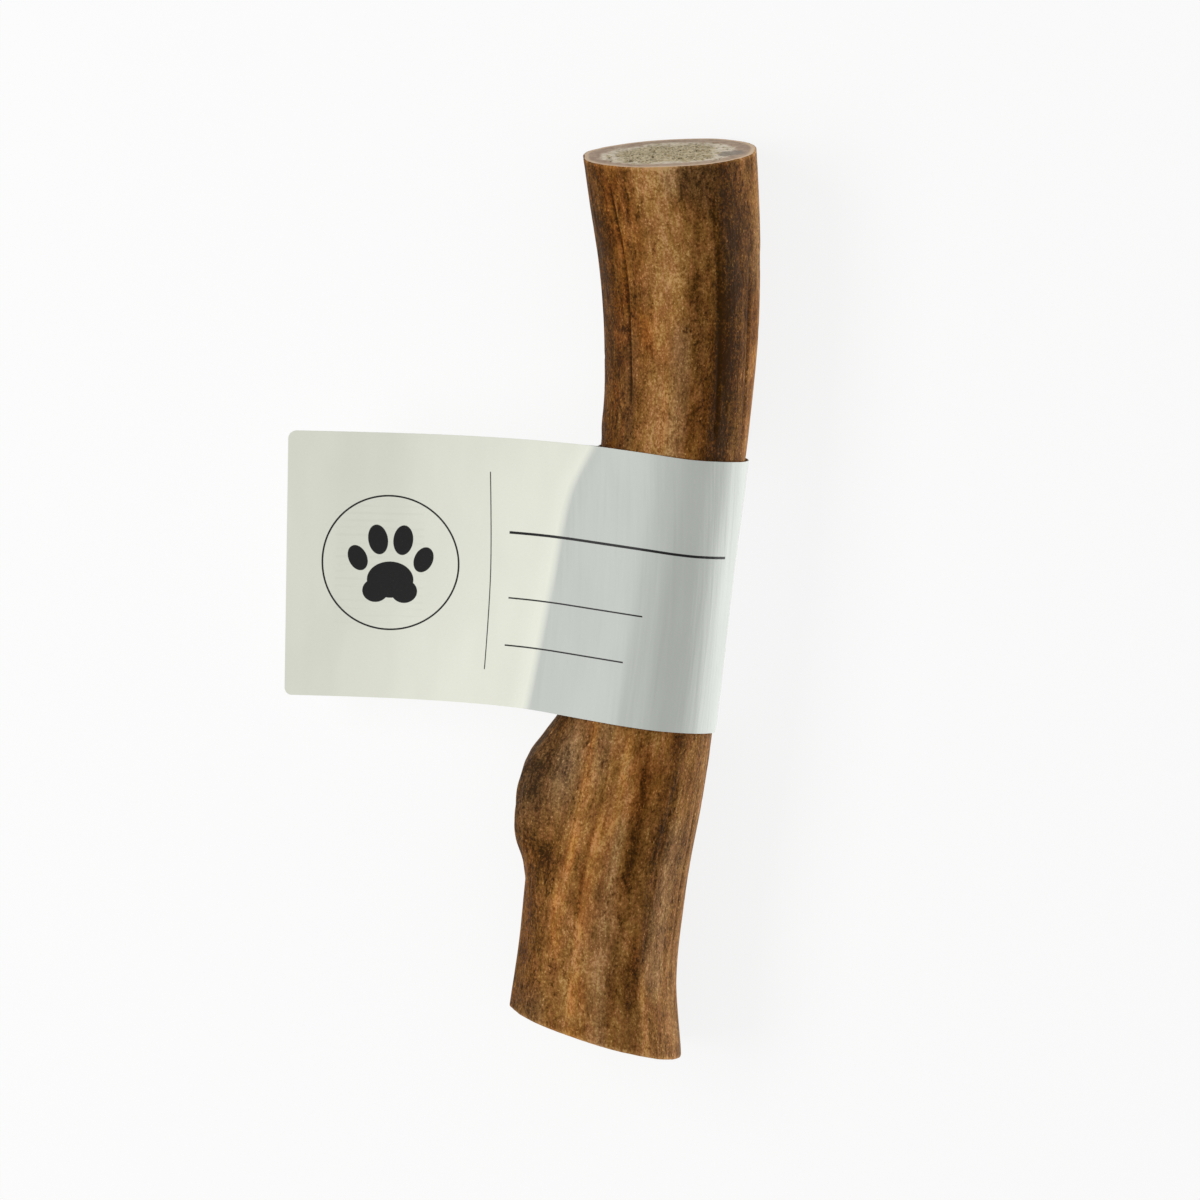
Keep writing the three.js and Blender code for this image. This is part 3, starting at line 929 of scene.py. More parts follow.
def build_label(settings):
    """The label's mesh: its middle surface moved out and in by half the paper, and closed at all edges."""
    strip, place, height, single = label_surface(settings)
    half = settings.paper_thickness / MM / 2 * surface_normals(strip)
    rows, columns = place.shape
    loop = np.concatenate((strip + half, (strip - half)[::-1]))
    quads = grid_faces(2 * rows, columns, False)
    first_row = np.arange(columns - 1)
    last_row = (2 * rows - 1) * columns + first_row
    lower_edge = np.stack((last_row, first_row, first_row + 1, last_row + 1), axis=-1)
    ends = []
    step = np.arange(rows - 1)
    for column, order in ((0, 1), (columns - 1, -1)):
        outer = step * columns + column
        inner = (2 * rows - 1 - step) * columns + column
        ends.append(np.stack((outer, inner, inner - columns, outer + columns), axis=-1)[:, ::order])
    faces = np.concatenate((quads[:, ::-1], lower_edge[:, ::-1], *ends))
    piece = make_piece("paper_label", loop.reshape(-1, 3), faces.tolist(), "label")
    piece.data.set_sharp_from_angle(angle=np.radians(SHARP_ANGLE))

    def both_sides(values):
        """The strip's values for its outer side, and again for its inner side in the other order."""
        return np.concatenate((values, values[::-1]))

    side = np.concatenate((np.ones_like(place), np.zeros_like(place)))
    sheet = np.stack((both_sides(place), both_sides(height), side), axis=-1)
    add_attribute(piece.data, "sheet", "FLOAT_VECTOR", "POINT", sheet)
    add_attribute(piece.data, "single", "FLOAT", "POINT", both_sides(single))
    return piece


class Nodes:
    """Adds shader nodes to a material and joins them."""

    def __init__(self, name):
        self.material = bpy.data.materials.new(name)
        self.material.use_nodes = True
        self.tree = self.material.node_tree
        self.shader = self.tree.nodes["Principled BSDF"]

    def add(self, kind, inputs=(), **settings):
        """A node of a kind, with its settings, and its inputs linked or set by name or number."""
        node = self.tree.nodes.new(kind)
        for name, value in settings.items():
            setattr(node, name, value)
        for name, value in dict(inputs).items():
            self.set(node.inputs[name], value)
        return node

    def set(self, socket, value):
        """Links an output to the socket, or sets the socket to a plain value."""
        if isinstance(value, bpy.types.NodeSocket):
            self.tree.links.new(value, socket)
        else:
            socket.default_value = value

    def math(self, operation, *values):
        """The result of one operation on outputs and numbers."""
        return self.add("ShaderNodeMath", enumerate(values), operation=operation).outputs[0]

    def centred(self, value):
        """A noise, less its mean of one half."""
        return self.math("SUBTRACT", value, 0.5)

    def attribute(self, name, output):
        """One of the mesh's own attributes."""
        return self.add("ShaderNodeAttribute", attribute_name=name).outputs[output]

    def noise(self, vector, scale, detail, roughness, distortion=0.0):
        """A fractal noise from 0 to 1."""
        node = self.add("ShaderNodeTexNoise", {
            "Vector": vector, "Scale": scale, "Detail": detail,
            "Roughness": roughness, "Distortion": distortion,
        })
        return node.outputs["Fac"]

    def stretched_noise(self, vector, stretch, scale=1.0, **settings):
        """A noise of a vector whose parts are each multiplied by a stretch of their own first."""
        vector = self.add("ShaderNodeVectorMath", {0: vector, 1: stretch}, operation="MULTIPLY")
        return self.noise(vector.outputs[0], scale, **settings)

    def span(self, value, low, high, to_low=0.0, to_high=1.0):
        """The value's smooth place between low and high, as a value between two others."""
        node = self.add("ShaderNodeMapRange", {
            0: value, 1: low, 2: high, 3: to_low, 4: to_high,
        }, interpolation_type="SMOOTHSTEP")
        return node.outputs[0]

    def mix(self, share, first, second, blend="MIX"):
        """Two colours mixed by a share of the second."""
        node = self.add("ShaderNodeMix", data_type="RGBA", blend_type=blend)
        self.set(node.inputs[0], share)
        self.set(node.inputs[6], first)
        self.set(node.inputs[7], second)
        return node.outputs[2]

    def ramp(self, value, stops):
        """The colour at a value, between stops that are pairs of a position and a colour."""
        node = self.add("ShaderNodeValToRGB", {0: value})
        elements = node.color_ramp.elements
        elements[0].position, elements[0].color = stops[0][0], solid(stops[0][1])
        elements[1].position, elements[1].color = stops[-1][0], solid(stops[-1][1])
        for position, colour in stops[1:-1]:
            elements.new(position).color = solid(colour)
        return node.outputs[0]

    def bump(self, height, distance):
        """The normal of a relief whose height runs from 0 to 1 over the distance."""
        node = self.add("ShaderNodeBump", {"Height": height, "Distance": distance, "Strength": 1.0})
        return node.outputs[0]


def solid(colour):
    """A colour with full cover."""
    return (colour[0], colour[1], colour[2], 1.0)


# Noises of the horn's colour: how the place on the skin is stretched, round and along the beam
HORN_NOISES = {
    "threads": {"stretch": (1.3, 1.3, 0.09), "detail": 4.0, "roughness": 0.6, "distortion": 0.35},
    "hairs": {"stretch": (3.6, 3.6, 2.8), "detail": 2.0, "roughness": 0.6, "distortion": 0.1},
    "blotches": {"stretch": (0.62, 0.62, 0.30), "detail": 5.0, "roughness": 0.66, "distortion": 0.5},
    "mottle": {"stretch": (2.3, 2.3, 1.9), "detail": 4.0, "roughness": 0.68, "distortion": 0.1},
    "flecks": {"stretch": (1.35, 1.35, 0.75), "detail": 2.0, "roughness": 0.6, "distortion": 0.3},
    "clusters": {"stretch": (0.22, 0.22, 0.09), "detail": 2.0, "roughness": 0.5},
    "specks": {"stretch": (3.1, 3.1, 2.2), "detail": 1.0, "roughness": 0.5},
    "redness": {"stretch": (0.45, 0.45, 0.16), "detail": 4.0, "roughness": 0.6, "distortion": 0.4},
    "hue": {"stretch": (0.9, 0.9, 0.30), "detail": 3.0, "roughness": 0.6, "distortion": 0.3},
}

# Between which values a noise or a distance shows, and where given, the shares that this gives
HORN_SPANS = {
    "flecks": (0.55, 0.68),
    "clusters": (0.42, 0.60, 0.25, 1.0),
    "specks": (0.63, 0.73),
    "line": (0.10, 0.32, 1.0, 0.0),
    "line breaks": (0.36, 0.58, 0.25, 1.0),
    "redness": (0.32, 0.60, 0.3, 1.0),
    "hue": (0.40, 0.60),
    "roughness": (0.3, 0.7, 0.50, 0.66),
}

# What each mark adds to the horn's tone, and to the height of its finest relief. The painted shade darkens
# the hollow and the stub's edge.
HORN_TONES = {
    "threads": 0.36, "hairs": 0.62, "blotches": 1.10, "mottle": 1.25,
    "flecks": -0.30, "specks": 0.34, "line": -0.24, "painted_shade": -0.34,
}
HORN_HEIGHTS = {"threads": 0.6, "hairs": 0.5, "mottle": 0.7, "flecks": -0.25}

# How far the main groove's dark line frays, how light the ashy horn is and how much of it shows, and how
# shiny the horn is
LINE_FRAY = 0.5
ASH_LIGHTNESS = 1.35
ASH_COVER = 0.5
HORN_SHINE = 0.04


def groove_line(nodes, hairs, blotches):
    """1 on the thin dark line in the main groove, frayed by the hairs and broken by the blotches."""
    off_line = nodes.math("MULTIPLY_ADD", nodes.centred(hairs), LINE_FRAY, nodes.attribute("groove", "Fac"))
    line = nodes.span(nodes.math("ABSOLUTE", off_line), *HORN_SPANS["line"])
    line = nodes.math("MULTIPLY", line, nodes.attribute("groove_share", "Fac"))
    return nodes.math("MULTIPLY", line, nodes.span(blotches, *HORN_SPANS["line breaks"]))


def tinted_horn(nodes, colour, noises, settings):
    """The horn's colour with its orange, rosy, olive and ashy patches."""
    redness = nodes.span(noises["redness"], *HORN_SPANS["redness"])
    redness = nodes.math("MULTIPLY", redness, nodes.attribute("warmth", "Fac"))
    colour = nodes.mix(redness, colour, nodes.mix(1.0, colour, solid(settings.red_stain), "MULTIPLY"))
    hue = nodes.span(noises["hue"], *HORN_SPANS["hue"])
    tint = nodes.mix(hue, solid(settings.rosy), solid(settings.olive))
    colour = nodes.mix(1.0, colour, tint, "MULTIPLY")
    brightness = nodes.add("ShaderNodeRGBToBW", {0: colour}).outputs[0]
    grey = nodes.add("ShaderNodeVectorMath", {0: tuple(settings.ash)}, operation="SCALE")
    nodes.set(grey.inputs["Scale"], nodes.math("MULTIPLY", brightness, ASH_LIGHTNESS))
    ash = nodes.math("MULTIPLY", nodes.attribute("ash", "Fac"), ASH_COVER)
    return nodes.mix(ash, colour, grey.outputs[0])


def horn_material(settings):
    """Brown grown horn: long streaks and threads, blotches and dark flecks over the tone of each place."""
    nodes = Nodes("horn")
    grain = nodes.attribute("grain", "Vector")
    noises = {name: nodes.stretched_noise(grain, **noise) for name, noise in HORN_NOISES.items()}
    tone = nodes.attribute("tone", "Fac")
    for name in ("threads", "hairs", "blotches", "mottle"):
        weight = HORN_TONES[name] * settings.streaks
        tone = nodes.math("MULTIPLY_ADD", nodes.centred(noises[name]), weight, tone)
    clusters = nodes.span(noises["clusters"], *HORN_SPANS["clusters"])
    flecks = nodes.math("MULTIPLY", nodes.span(noises["flecks"], *HORN_SPANS["flecks"]), clusters)
    marks = {
        "flecks": flecks,
        "specks": nodes.span(noises["specks"], *HORN_SPANS["specks"]),
        "line": groove_line(nodes, noises["hairs"], noises["blotches"]),
        # Painted shade in the hollow below the stub and along its edge
        "painted_shade": nodes.attribute("painted_shade", "Fac"),
    }
    for name, mark in marks.items():
        tone = nodes.math("MULTIPLY_ADD", mark, HORN_TONES[name], tone)
    palette = (settings.darkest, settings.dark, settings.brown, settings.gold, settings.pale)
    colour = nodes.ramp(tone, tuple(zip(np.linspace(0, 1, len(palette)).tolist(), palette)))
    shader = nodes.shader
    nodes.set(shader.inputs["Base Color"], tinted_horn(nodes, colour, noises, settings))
    nodes.set(shader.inputs["Roughness"], nodes.span(noises["hairs"], *HORN_SPANS["roughness"]))
    shader.inputs["Specular IOR Level"].default_value = HORN_SHINE
    height = nodes.math("MULTIPLY", noises["hairs"], HORN_HEIGHTS["hairs"])
    height = nodes.math("MULTIPLY_ADD", noises["threads"], HORN_HEIGHTS["threads"], height)
    height = nodes.math("MULTIPLY_ADD", noises["mottle"], HORN_HEIGHTS["mottle"], height)
    height = nodes.math("MULTIPLY_ADD", flecks, HORN_HEIGHTS["flecks"], height)
    nodes.set(shader.inputs["Normal"], nodes.bump(height, settings.bump))
    return nodes.material


# Noises of the sawn ends
SAWN_NOISES = {
    "wobble": {"scale": 0.22, "detail": 2.0, "roughness": 0.5},
    "fine wobble": {"scale": 1.1, "detail": 3.0, "roughness": 0.6},
    "layer": {"scale": 0.8, "detail": 4.0, "roughness": 0.6},
    "sponge": {"scale": 1.9, "detail": 4.0, "roughness": 0.65, "distortion": 0.5},
    "cream": {"scale": 0.8, "detail": 4.0, "roughness": 0.65},
}

# Between which values a noise, or a distance in millimetres, shows, and where given, the shares that
# this gives
SAWN_SPANS = {
    "layer": (0.35, 0.65),
    "pores": (0.14, 0.50),
    "sponge": (0.36, 0.66),
    "core": (2.9, 3.9),
    "sides": (6.8, 8.8),
    "ring": (4.2, 5.6, 1.0, 0.0),
    "past layer": (2.6, 3.6),
    "cream": (0.36, 0.58),
    "dark patch": (1.6, 2.9, 0.85, 0.0),
    "rim": (0.45, 0.95),
}

# How far the layers wobble, the cells of the pores to a millimetre, how strong the cream ring is between
# its two sides and where the middle between them is, the dark patch's place and how far it frays, how high
# the sponge is beside the pores, and how rough and shiny the sawn horn is
WOBBLE = 3.0
FINE_WOBBLE = 1.2
PORE_CELLS = 1.9
CREAM_RING = 0.75
CREAM_MIDDLE = -0.6
DARK_PATCH = (10.3, 0.0, 1.5)
DARK_PATCH_FRAY = 3.0
SPONGE_HEIGHT = 0.8
SAWN_ROUGHNESS = 0.72
SAWN_SHINE = 0.3


def sawn_material(settings):
    """The sawn face: a tan line at the rim, a hard grey-brown layer, cream patches and a spongy core."""
    nodes = Nodes("sawn_horn")
    place = nodes.attribute("grain", "Vector")
    rim = nodes.attribute("rim", "Fac")
    noises = {name: nodes.noise(place, **noise) for name, noise in SAWN_NOISES.items()}
    frayed = nodes.centred(noises["fine wobble"])
    depth = nodes.math("MULTIPLY_ADD", nodes.centred(noises["wobble"]), WOBBLE, rim)
    depth = nodes.math("MULTIPLY_ADD", frayed, FINE_WOBBLE, depth)
    layer = nodes.span(noises["layer"], *SAWN_SPANS["layer"])
    layer = nodes.mix(layer, solid(settings.layer), solid(settings.layer_dark))

    cells = nodes.add("ShaderNodeTexVoronoi", {
        "Vector": place, "Scale": PORE_CELLS, "Randomness": 1.0,
    }, feature="F1")
    pores = nodes.span(cells.outputs["Distance"], *SAWN_SPANS["pores"])
    bone = nodes.span(noises["sponge"], *SAWN_SPANS["sponge"])
    bone = nodes.mix(bone, solid(settings.sponge_dark), solid(settings.sponge))
    core = nodes.mix(pores, solid(settings.pore), bone)
    in_core = nodes.span(depth, *SAWN_SPANS["core"])
    colour = nodes.mix(in_core, layer, core)

    across = nodes.add("ShaderNodeSeparateXYZ", {0: place}).outputs["X"]
    off_middle = nodes.math("ABSOLUTE", nodes.math("SUBTRACT", across, CREAM_MIDDLE))
    ring = nodes.math("MULTIPLY", nodes.span(depth, *SAWN_SPANS["ring"]), CREAM_RING)
    cream = nodes.math("MAXIMUM", nodes.span(off_middle, *SAWN_SPANS["sides"]), ring)
    cream = nodes.math("MULTIPLY", cream, nodes.span(depth, *SAWN_SPANS["past layer"]))
    cream = nodes.math("MULTIPLY", cream, nodes.span(noises["cream"], *SAWN_SPANS["cream"]))
    colour = nodes.mix(cream, colour, solid(settings.cream))

    distance = nodes.add("ShaderNodeVectorMath", {0: place, 1: DARK_PATCH}, operation="DISTANCE")
    distance = nodes.math("MULTIPLY_ADD", frayed, DARK_PATCH_FRAY, distance.outputs["Value"])
    colour = nodes.mix(nodes.span(distance, *SAWN_SPANS["dark patch"]), colour, solid(settings.stain))
    colour = nodes.mix(nodes.span(rim, *SAWN_SPANS["rim"]), solid(settings.rim), colour)

    shader = nodes.shader
    nodes.set(shader.inputs["Base Color"], colour)
    shader.inputs["Roughness"].default_value = SAWN_ROUGHNESS
    shader.inputs["Specular IOR Level"].default_value = SAWN_SHINE
    pore_height = nodes.math("MULTIPLY", pores, in_core)
    height = nodes.math("MULTIPLY_ADD", noises["sponge"], SPONGE_HEIGHT, pore_height)
    nodes.set(shader.inputs["Normal"], nodes.bump(height, settings.bump))
    return nodes.material


# The strip's outer side in the attribute "sheet", and half the distance to its inner side. The print is
# on the outer side alone.
OUTER_SIDE = 1.0
HALF_SIDE = 0.5


def box_mask(nodes, sheet, shape):
    """1 inside a rectangle on the sheet's outer side, and 0 outside, with a thin soft edge."""
    middle = (*shape["middle"], OUTER_SIDE)
    half = (*shape["half"], HALF_SIDE)
    placed = nodes.add("ShaderNodeVectorMath", {0: sheet, 1: middle}, operation="SUBTRACT")
    size = nodes.add("ShaderNodeVectorMath", {0: placed.outputs[0]}, operation="ABSOLUTE")
    beyond = nodes.add("ShaderNodeVectorMath", {0: size.outputs[0], 1: half}, operation="SUBTRACT")
    parts = nodes.add("ShaderNodeSeparateXYZ", {0: beyond.outputs[0]})
    most = nodes.math("MAXIMUM", parts.outputs[0], parts.outputs[1])
    return nodes.span(nodes.math("MAXIMUM", most, parts.outputs[2]), -PRINT_EDGE, PRINT_EDGE, 1.0, 0.0)


def oval_mask(nodes, sheet, shape):
    """1 inside a turned ellipse on the sheet's outer side, and 0 outside, with a thin soft edge."""
    placed = nodes.add("ShaderNodeMapping", {
        "Vector": sheet,
        "Location": (*shape["middle"], OUTER_SIDE),
        "Rotation": (0.0, 0.0, np.radians(shape["turn"])),
        "Scale": (*shape["half"], HALF_SIDE),
    }, vector_type="TEXTURE")
    length = nodes.add("ShaderNodeVectorMath", {0: placed.outputs[0]}, operation="LENGTH").outputs["Value"]
    edge = PRINT_EDGE / min(shape["half"])
    return nodes.span(length, 1 - edge, 1 + edge, 1.0, 0.0)


def badge_mask(nodes, sheet):
    """1 on the thin ring round the paw print, and 0 elsewhere."""
    middle = (*BADGE["middle"], OUTER_SIDE)
    distance = nodes.add("ShaderNodeVectorMath", {0: sheet, 1: middle}, operation="DISTANCE")
    off_line = nodes.math("ABSOLUTE", nodes.math("SUBTRACT", distance.outputs["Value"], BADGE["radius"]))
    half = BADGE["line"] / 2
    return nodes.span(off_line, half - PRINT_EDGE, half + PRINT_EDGE, 1.0, 0.0)


# Noises of the paper: how the place on the strip is stretched, along it, across it and through it
PAPER_NOISES = {
    "fibre": {"stretch": (1.0, 1.6, 4.0), "scale": 2.2, "detail": 4.0, "roughness": 0.6},
    "cloud": {"stretch": (1.0, 0.35, 4.0), "scale": 0.16, "detail": 2.0, "roughness": 0.5},
    "broken": {"stretch": (0.10, 1.1, 1.0), "detail": 2.0, "roughness": 0.5},
    "worn": {"stretch": (1.0, 1.0, 1.0), "scale": 5.0, "detail": 3.0, "roughness": 0.6},
    "waves": {"stretch": (0.62, 0.035, 1.0), "detail": 2.0, "roughness": 0.55, "distortion": 0.2},
}

# Between which values a noise, or a place along the strip, shows, and the values that this gives
PAPER_SPANS = {
    "fibre": (0.2, 0.8, -0.012, 0.012),
    "cloud": (0.3, 0.7, 0.98, 1.02),
    # Painted shade: the flag's free end is darkened a little, as the light falls off there
    "free end": (12.0, 32.0, 0.89, 1.0),
    "bars": (0.1, 0.9),
    "worn": (0.25, 0.4, 0.95, 1.0),
}

# Where the lines from behind are broken off in their noise, where the fibres make the paper duller and by
# how much, how shiny it is, and how high the fibres are beside the waves
BROKEN_RANGE = (0.40, 0.60)
DULL_RANGE = (0.3, 0.7)
DULL_CHANGE = 0.06
PAPER_SHINE = 0.22
FIBRE_HEIGHT = 0.12


def paper_shade(nodes, noises, along):
    """How light the paper is: fibres, clouds, and painted shade that makes the free end a little darker,
    where the light falls off.
    """
    fibre = nodes.span(noises["fibre"], *PAPER_SPANS["fibre"])
    shade = nodes.math("ADD", fibre, nodes.span(noises["cloud"], *PAPER_SPANS["cloud"]))
    return nodes.math("MULTIPLY", shade, nodes.span(along, *PAPER_SPANS["free end"]))


def ghost_bars(nodes, noises, sheet, across, strength):
    """Faint lines from behind: a sine wave across the strip, within a box, broken by a noise."""
    wave = nodes.math("SINE", nodes.math("MULTIPLY", across, 2 * np.pi / GHOST_BARS["pitch"]))
    bars = nodes.span(wave, *PAPER_SPANS["bars"])
    bars = nodes.math("MULTIPLY", bars, box_mask(nodes, sheet, GHOST_BARS))
    return nodes.math("MULTIPLY", bars, nodes.span(noises["broken"], *BROKEN_RANGE, 0.0, strength))


def printed_ink(nodes, sheet):
    """1 on all that is printed on the label, and 0 elsewhere."""
    ink = box_mask(nodes, sheet, DIVIDER)
    for shape in WRITING_LINES:
        ink = nodes.math("MAXIMUM", ink, box_mask(nodes, sheet, shape))
    ink = nodes.math("MAXIMUM", ink, badge_mask(nodes, sheet))
    for shape in PAW_PADS:
        ink = nodes.math("MAXIMUM", ink, oval_mask(nodes, sheet, shape))
    return ink


def paper_material(settings):
    """Satin label paper, double and warm on the flag, single and cooler on the beam, with plain print."""
    nodes = Nodes("label_paper")
    sheet = nodes.attribute("sheet", "Vector")
    single = nodes.attribute("single", "Fac")
    place = nodes.add("ShaderNodeSeparateXYZ", {0: sheet})
    noises = {name: nodes.stretched_noise(sheet, **noise) for name, noise in PAPER_NOISES.items()}
    plain = nodes.mix(single, solid(settings.double_paper), solid(settings.single_paper))
    shaded = nodes.add("ShaderNodeVectorMath", {0: plain}, operation="SCALE")
    nodes.set(shaded.inputs["Scale"], paper_shade(nodes, noises, place.outputs["X"]))
    bars = ghost_bars(nodes, noises, sheet, place.outputs["Y"], settings.show_through)
    paper = nodes.mix(bars, shaded.outputs[0], solid(settings.ghost_ink))
    worn = nodes.span(noises["worn"], *PAPER_SPANS["worn"])
    ink = nodes.math("MULTIPLY", printed_ink(nodes, sheet), worn)
    shader = nodes.shader
    nodes.set(shader.inputs["Base Color"], nodes.mix(ink, paper, solid(settings.ink)))
    roughness = (settings.roughness, settings.roughness + DULL_CHANGE)
    nodes.set(shader.inputs["Roughness"], nodes.span(noises["fibre"], *DULL_RANGE, *roughness))
    shader.inputs["Specular IOR Level"].default_value = PAPER_SHINE
    waves = nodes.math("MULTIPLY", noises["waves"], single)
    height = nodes.math("MULTIPLY_ADD", noises["fibre"], FIBRE_HEIGHT, waves)
    nodes.set(shader.inputs["Normal"], nodes.bump(height, settings.bump))
    return nodes.material


def colour_property(name, description, default):
    """A colour that a user may change."""
    return FloatVectorProperty(name=name, description=description, default=default, size=3,
                               subtype="COLOR", min=0.0, max=1.0)


def length_property(name, description, default):
    """A length in metres that a user may change."""
    return FloatProperty(name=name, description=description, default=default, subtype="DISTANCE",
                         unit="LENGTH", min=0.0, precision=5)


class HornSettings(bpy.types.PropertyGroup):
    """What a user may change on the antler."""

    flute_depth: length_property("Flute depth", "Depth of the shallow flutes along the beam", 0.00035)
    relief: FloatProperty(name="Relief", description="Strength of the grooves, grain and pits",
                          default=1.0, min=0.0, max=1.5, subtype="FACTOR")
    streaks: FloatProperty(name="Streaks", description="Strength of the streaks and flecks in the colour",
                           default=1.0, min=0.0, max=2.0, subtype="FACTOR")
    bump: length_property("Bump", "Height of the finest grain", 0.00018)
    darkest: colour_property("Darkest", "Colour in the deepest stains", (0.036, 0.014, 0.0015))
    dark: colour_property("Dark", "Colour of the dark streaks", (0.105, 0.041, 0.006))
    brown: colour_property("Brown", "Main colour of the horn", (0.200, 0.086, 0.020))
    gold: colour_property("Gold", "Colour of the lighter streaks", (0.315, 0.150, 0.042))
    pale: colour_property("Pale", "Colour of the lightest threads", (0.500, 0.285, 0.115))
    red_stain: colour_property("Red stain", "Tint of the orange and reddish patches", (1.0, 0.80, 0.50))
    rosy: colour_property("Rosy", "Tint of the rosy patches", (1.0, 0.93, 1.0))
    olive: colour_property("Olive", "Tint of the olive patches", (0.96, 0.99, 0.91))
    ash: colour_property("Ash", "Tint of the greyish patches", (1.0, 0.75, 0.44))


class SawnSettings(bpy.types.PropertyGroup):
    """What a user may change on the sawn ends."""

    bump: length_property("Bump", "Height of the saw's finest marks", 0.00010)
    rim: colour_property("Rim", "Colour of the line at the rim", (0.53, 0.385, 0.25))
    layer: colour_property("Hard layer", "Colour of the hard outer layer", (0.395, 0.285, 0.20))
    layer_dark: colour_property("Hard layer, dark", "Its darker parts", (0.28, 0.19, 0.128))
    cream: colour_property("Cream", "Colour of the cream patches", (0.65, 0.57, 0.455))
    sponge: colour_property("Core", "Colour of the spongy core", (0.57, 0.48, 0.315))
    sponge_dark: colour_property("Core, dark", "Its darker parts", (0.32, 0.255, 0.14))
    pore: colour_property("Pore", "Colour inside the pores", (0.14, 0.107, 0.055))
    stain: colour_property("Stain", "Colour of the dark patch", (0.19, 0.155, 0.12))


class LabelSettings(bpy.types.PropertyGroup):
    """What a user may change on the label."""

    paper_thickness: length_property("Paper thickness", "Thickness of the label's paper", 0.0001)
    corner_radius: length_property("Corner radius", "Radius of the free end's corners", 0.0013)
    crinkle: length_property("Crinkle", "Height of the paper's soft waves round the beam", 0.00012)
    bump: length_property("Bump", "Height of the fine waves in the paper", 0.00012)
    roughness: FloatProperty(name="Roughness", description="Roughness of the satin paper",
                             default=0.48, min=0.0, max=1.0, subtype="FACTOR")
    show_through: FloatProperty(name="Show-through", description="Strength of the lines from behind",
                                default=0.10, min=0.0, max=1.0, subtype="FACTOR")
    double_paper: colour_property("Flag", "Colour of the two layers of the flag", (0.775, 0.79, 0.688))
    single_paper: colour_property("Wrap", "Colour of the single layer on the horn", (0.50, 0.524, 0.49))
    ink: colour_property("Ink", "Colour of the print", (0.009, 0.009, 0.009))
    ghost_ink: colour_property("Ghost ink", "Colour of the lines that show through", (0.45, 0.45, 0.42))


class StudioSettings(bpy.types.PropertyGroup):
    """What a user may change in the studio."""

    elevation: FloatProperty(name="Elevation", description="The camera's height above the horizon",
                             default=float(np.radians(84.7)), subtype="ANGLE", unit="ROTATION")
    distance: length_property("Distance", "From the camera to the antler", 2.0)
    lens: FloatProperty(name="Lens", description="Focal length of the camera", default=360.0, min=1.0,
                        subtype="DISTANCE_CAMERA", unit="CAMERA")
    key_power: FloatProperty(name="Key light", description="Power of the large soft light at the left",
                             default=7.1, min=0.0, subtype="POWER", unit="POWER")
    rim_power: FloatProperty(name="Rim light", description="Power of the low panel at the right",
                             default=0.92, min=0.0, subtype="POWER", unit="POWER")
    floor_glow: FloatProperty(name="Floor glow", description="Light that the floor gives by itself",
                              default=0.85, min=0.0, max=1.0, subtype="FACTOR")
    floor: colour_property("Floor", "Colour of the floor", (0.12, 0.12, 0.12))
    sky: colour_property("Sky", "Colour of the light from all around", (1.0, 1.0, 1.0))
    sky_strength: FloatProperty(name="Sky strength", description="Strength of the light from all around",
                                default=0.48, min=0.0, max=2.0, subtype="FACTOR")


def stage_floor(settings):
    """A plain pale floor, just below the antler, that glows a little so that its shadows stay soft."""
    signs = ((-1, -1), (1, -1), (1, 1), (-1, 1))
    corners = [(x * FLOOR_HALF, y * FLOOR_HALF, FLOOR_HEIGHT) for x, y in signs]
    mesh = bpy.data.meshes.new("floor")
    mesh.from_pydata(corners, [], [(0, 1, 2, 3)])
    floor = bpy.data.objects.new("floor", mesh)
    bpy.context.scene.collection.objects.link(floor)
    nodes = Nodes("pale_floor")
    nodes.shader.inputs["Base Color"].default_value = solid(settings.floor)
    nodes.shader.inputs["Roughness"].default_value = FLOOR_ROUGHNESS
    nodes.shader.inputs["Specular IOR Level"].default_value = FLOOR_SHINE
    nodes.shader.inputs["Emission Color"].default_value = (1.0, 1.0, 1.0, 1.0)
    nodes.shader.inputs["Emission Strength"].default_value = settings.floor_glow
    mesh.materials.append(nodes.material)


def soft_light(name, power, size, place, target):
    """A rectangular soft light at a place, turned to a target, that the camera doesn't see."""
    light = bpy.data.lights.new(name, "AREA")
    light.shape = "RECTANGLE"
    light.size, light.size_y = size
    light.energy = power
    lamp = bpy.data.objects.new(name, light)
    bpy.context.scene.collection.objects.link(lamp)
    lamp.location = place
    lamp.rotation_euler = (Vector(target) - Vector(place)).to_track_quat("-Z", "Y").to_euler()
    lamp.visible_camera = False
    return lamp


def studio_sky(settings):
    """Even light from all around, weaker than the key light."""
    world = bpy.data.worlds.new("studio")
    bpy.context.scene.world = world
    world.use_nodes = True
    background = world.node_tree.nodes["Background"]
    background.inputs["Strength"].default_value = settings.sky_strength
    background.inputs["Color"].default_value = solid(settings.sky)


def studio_camera(settings):
    """The camera above the antler, tipped a little to its upper end, with its frame FRAME_WIDTH wide."""
    elevation = settings.elevation
    back = Vector((0.0, np.cos(elevation), np.sin(elevation)))
    up = Vector((0.0, np.sin(elevation), -np.cos(elevation)))
    right = up.cross(back)
    data = bpy.data.cameras.new("camera")
    data.lens = settings.lens
    data.sensor_width = FRAME_WIDTH * MM / settings.distance * settings.lens
    data.sensor_fit = "HORIZONTAL"
    data.clip_start, data.clip_end = CLIP_RANGE
    camera = bpy.data.objects.new("camera", data)
    bpy.context.scene.collection.objects.link(camera)
    place = Vector(CAMERA_TARGET) * MM + back * settings.distance
    camera.matrix_world = Matrix.Translation(place) @ Matrix((right, up, back)).transposed().to_4x4()
    bpy.context.scene.camera = camera


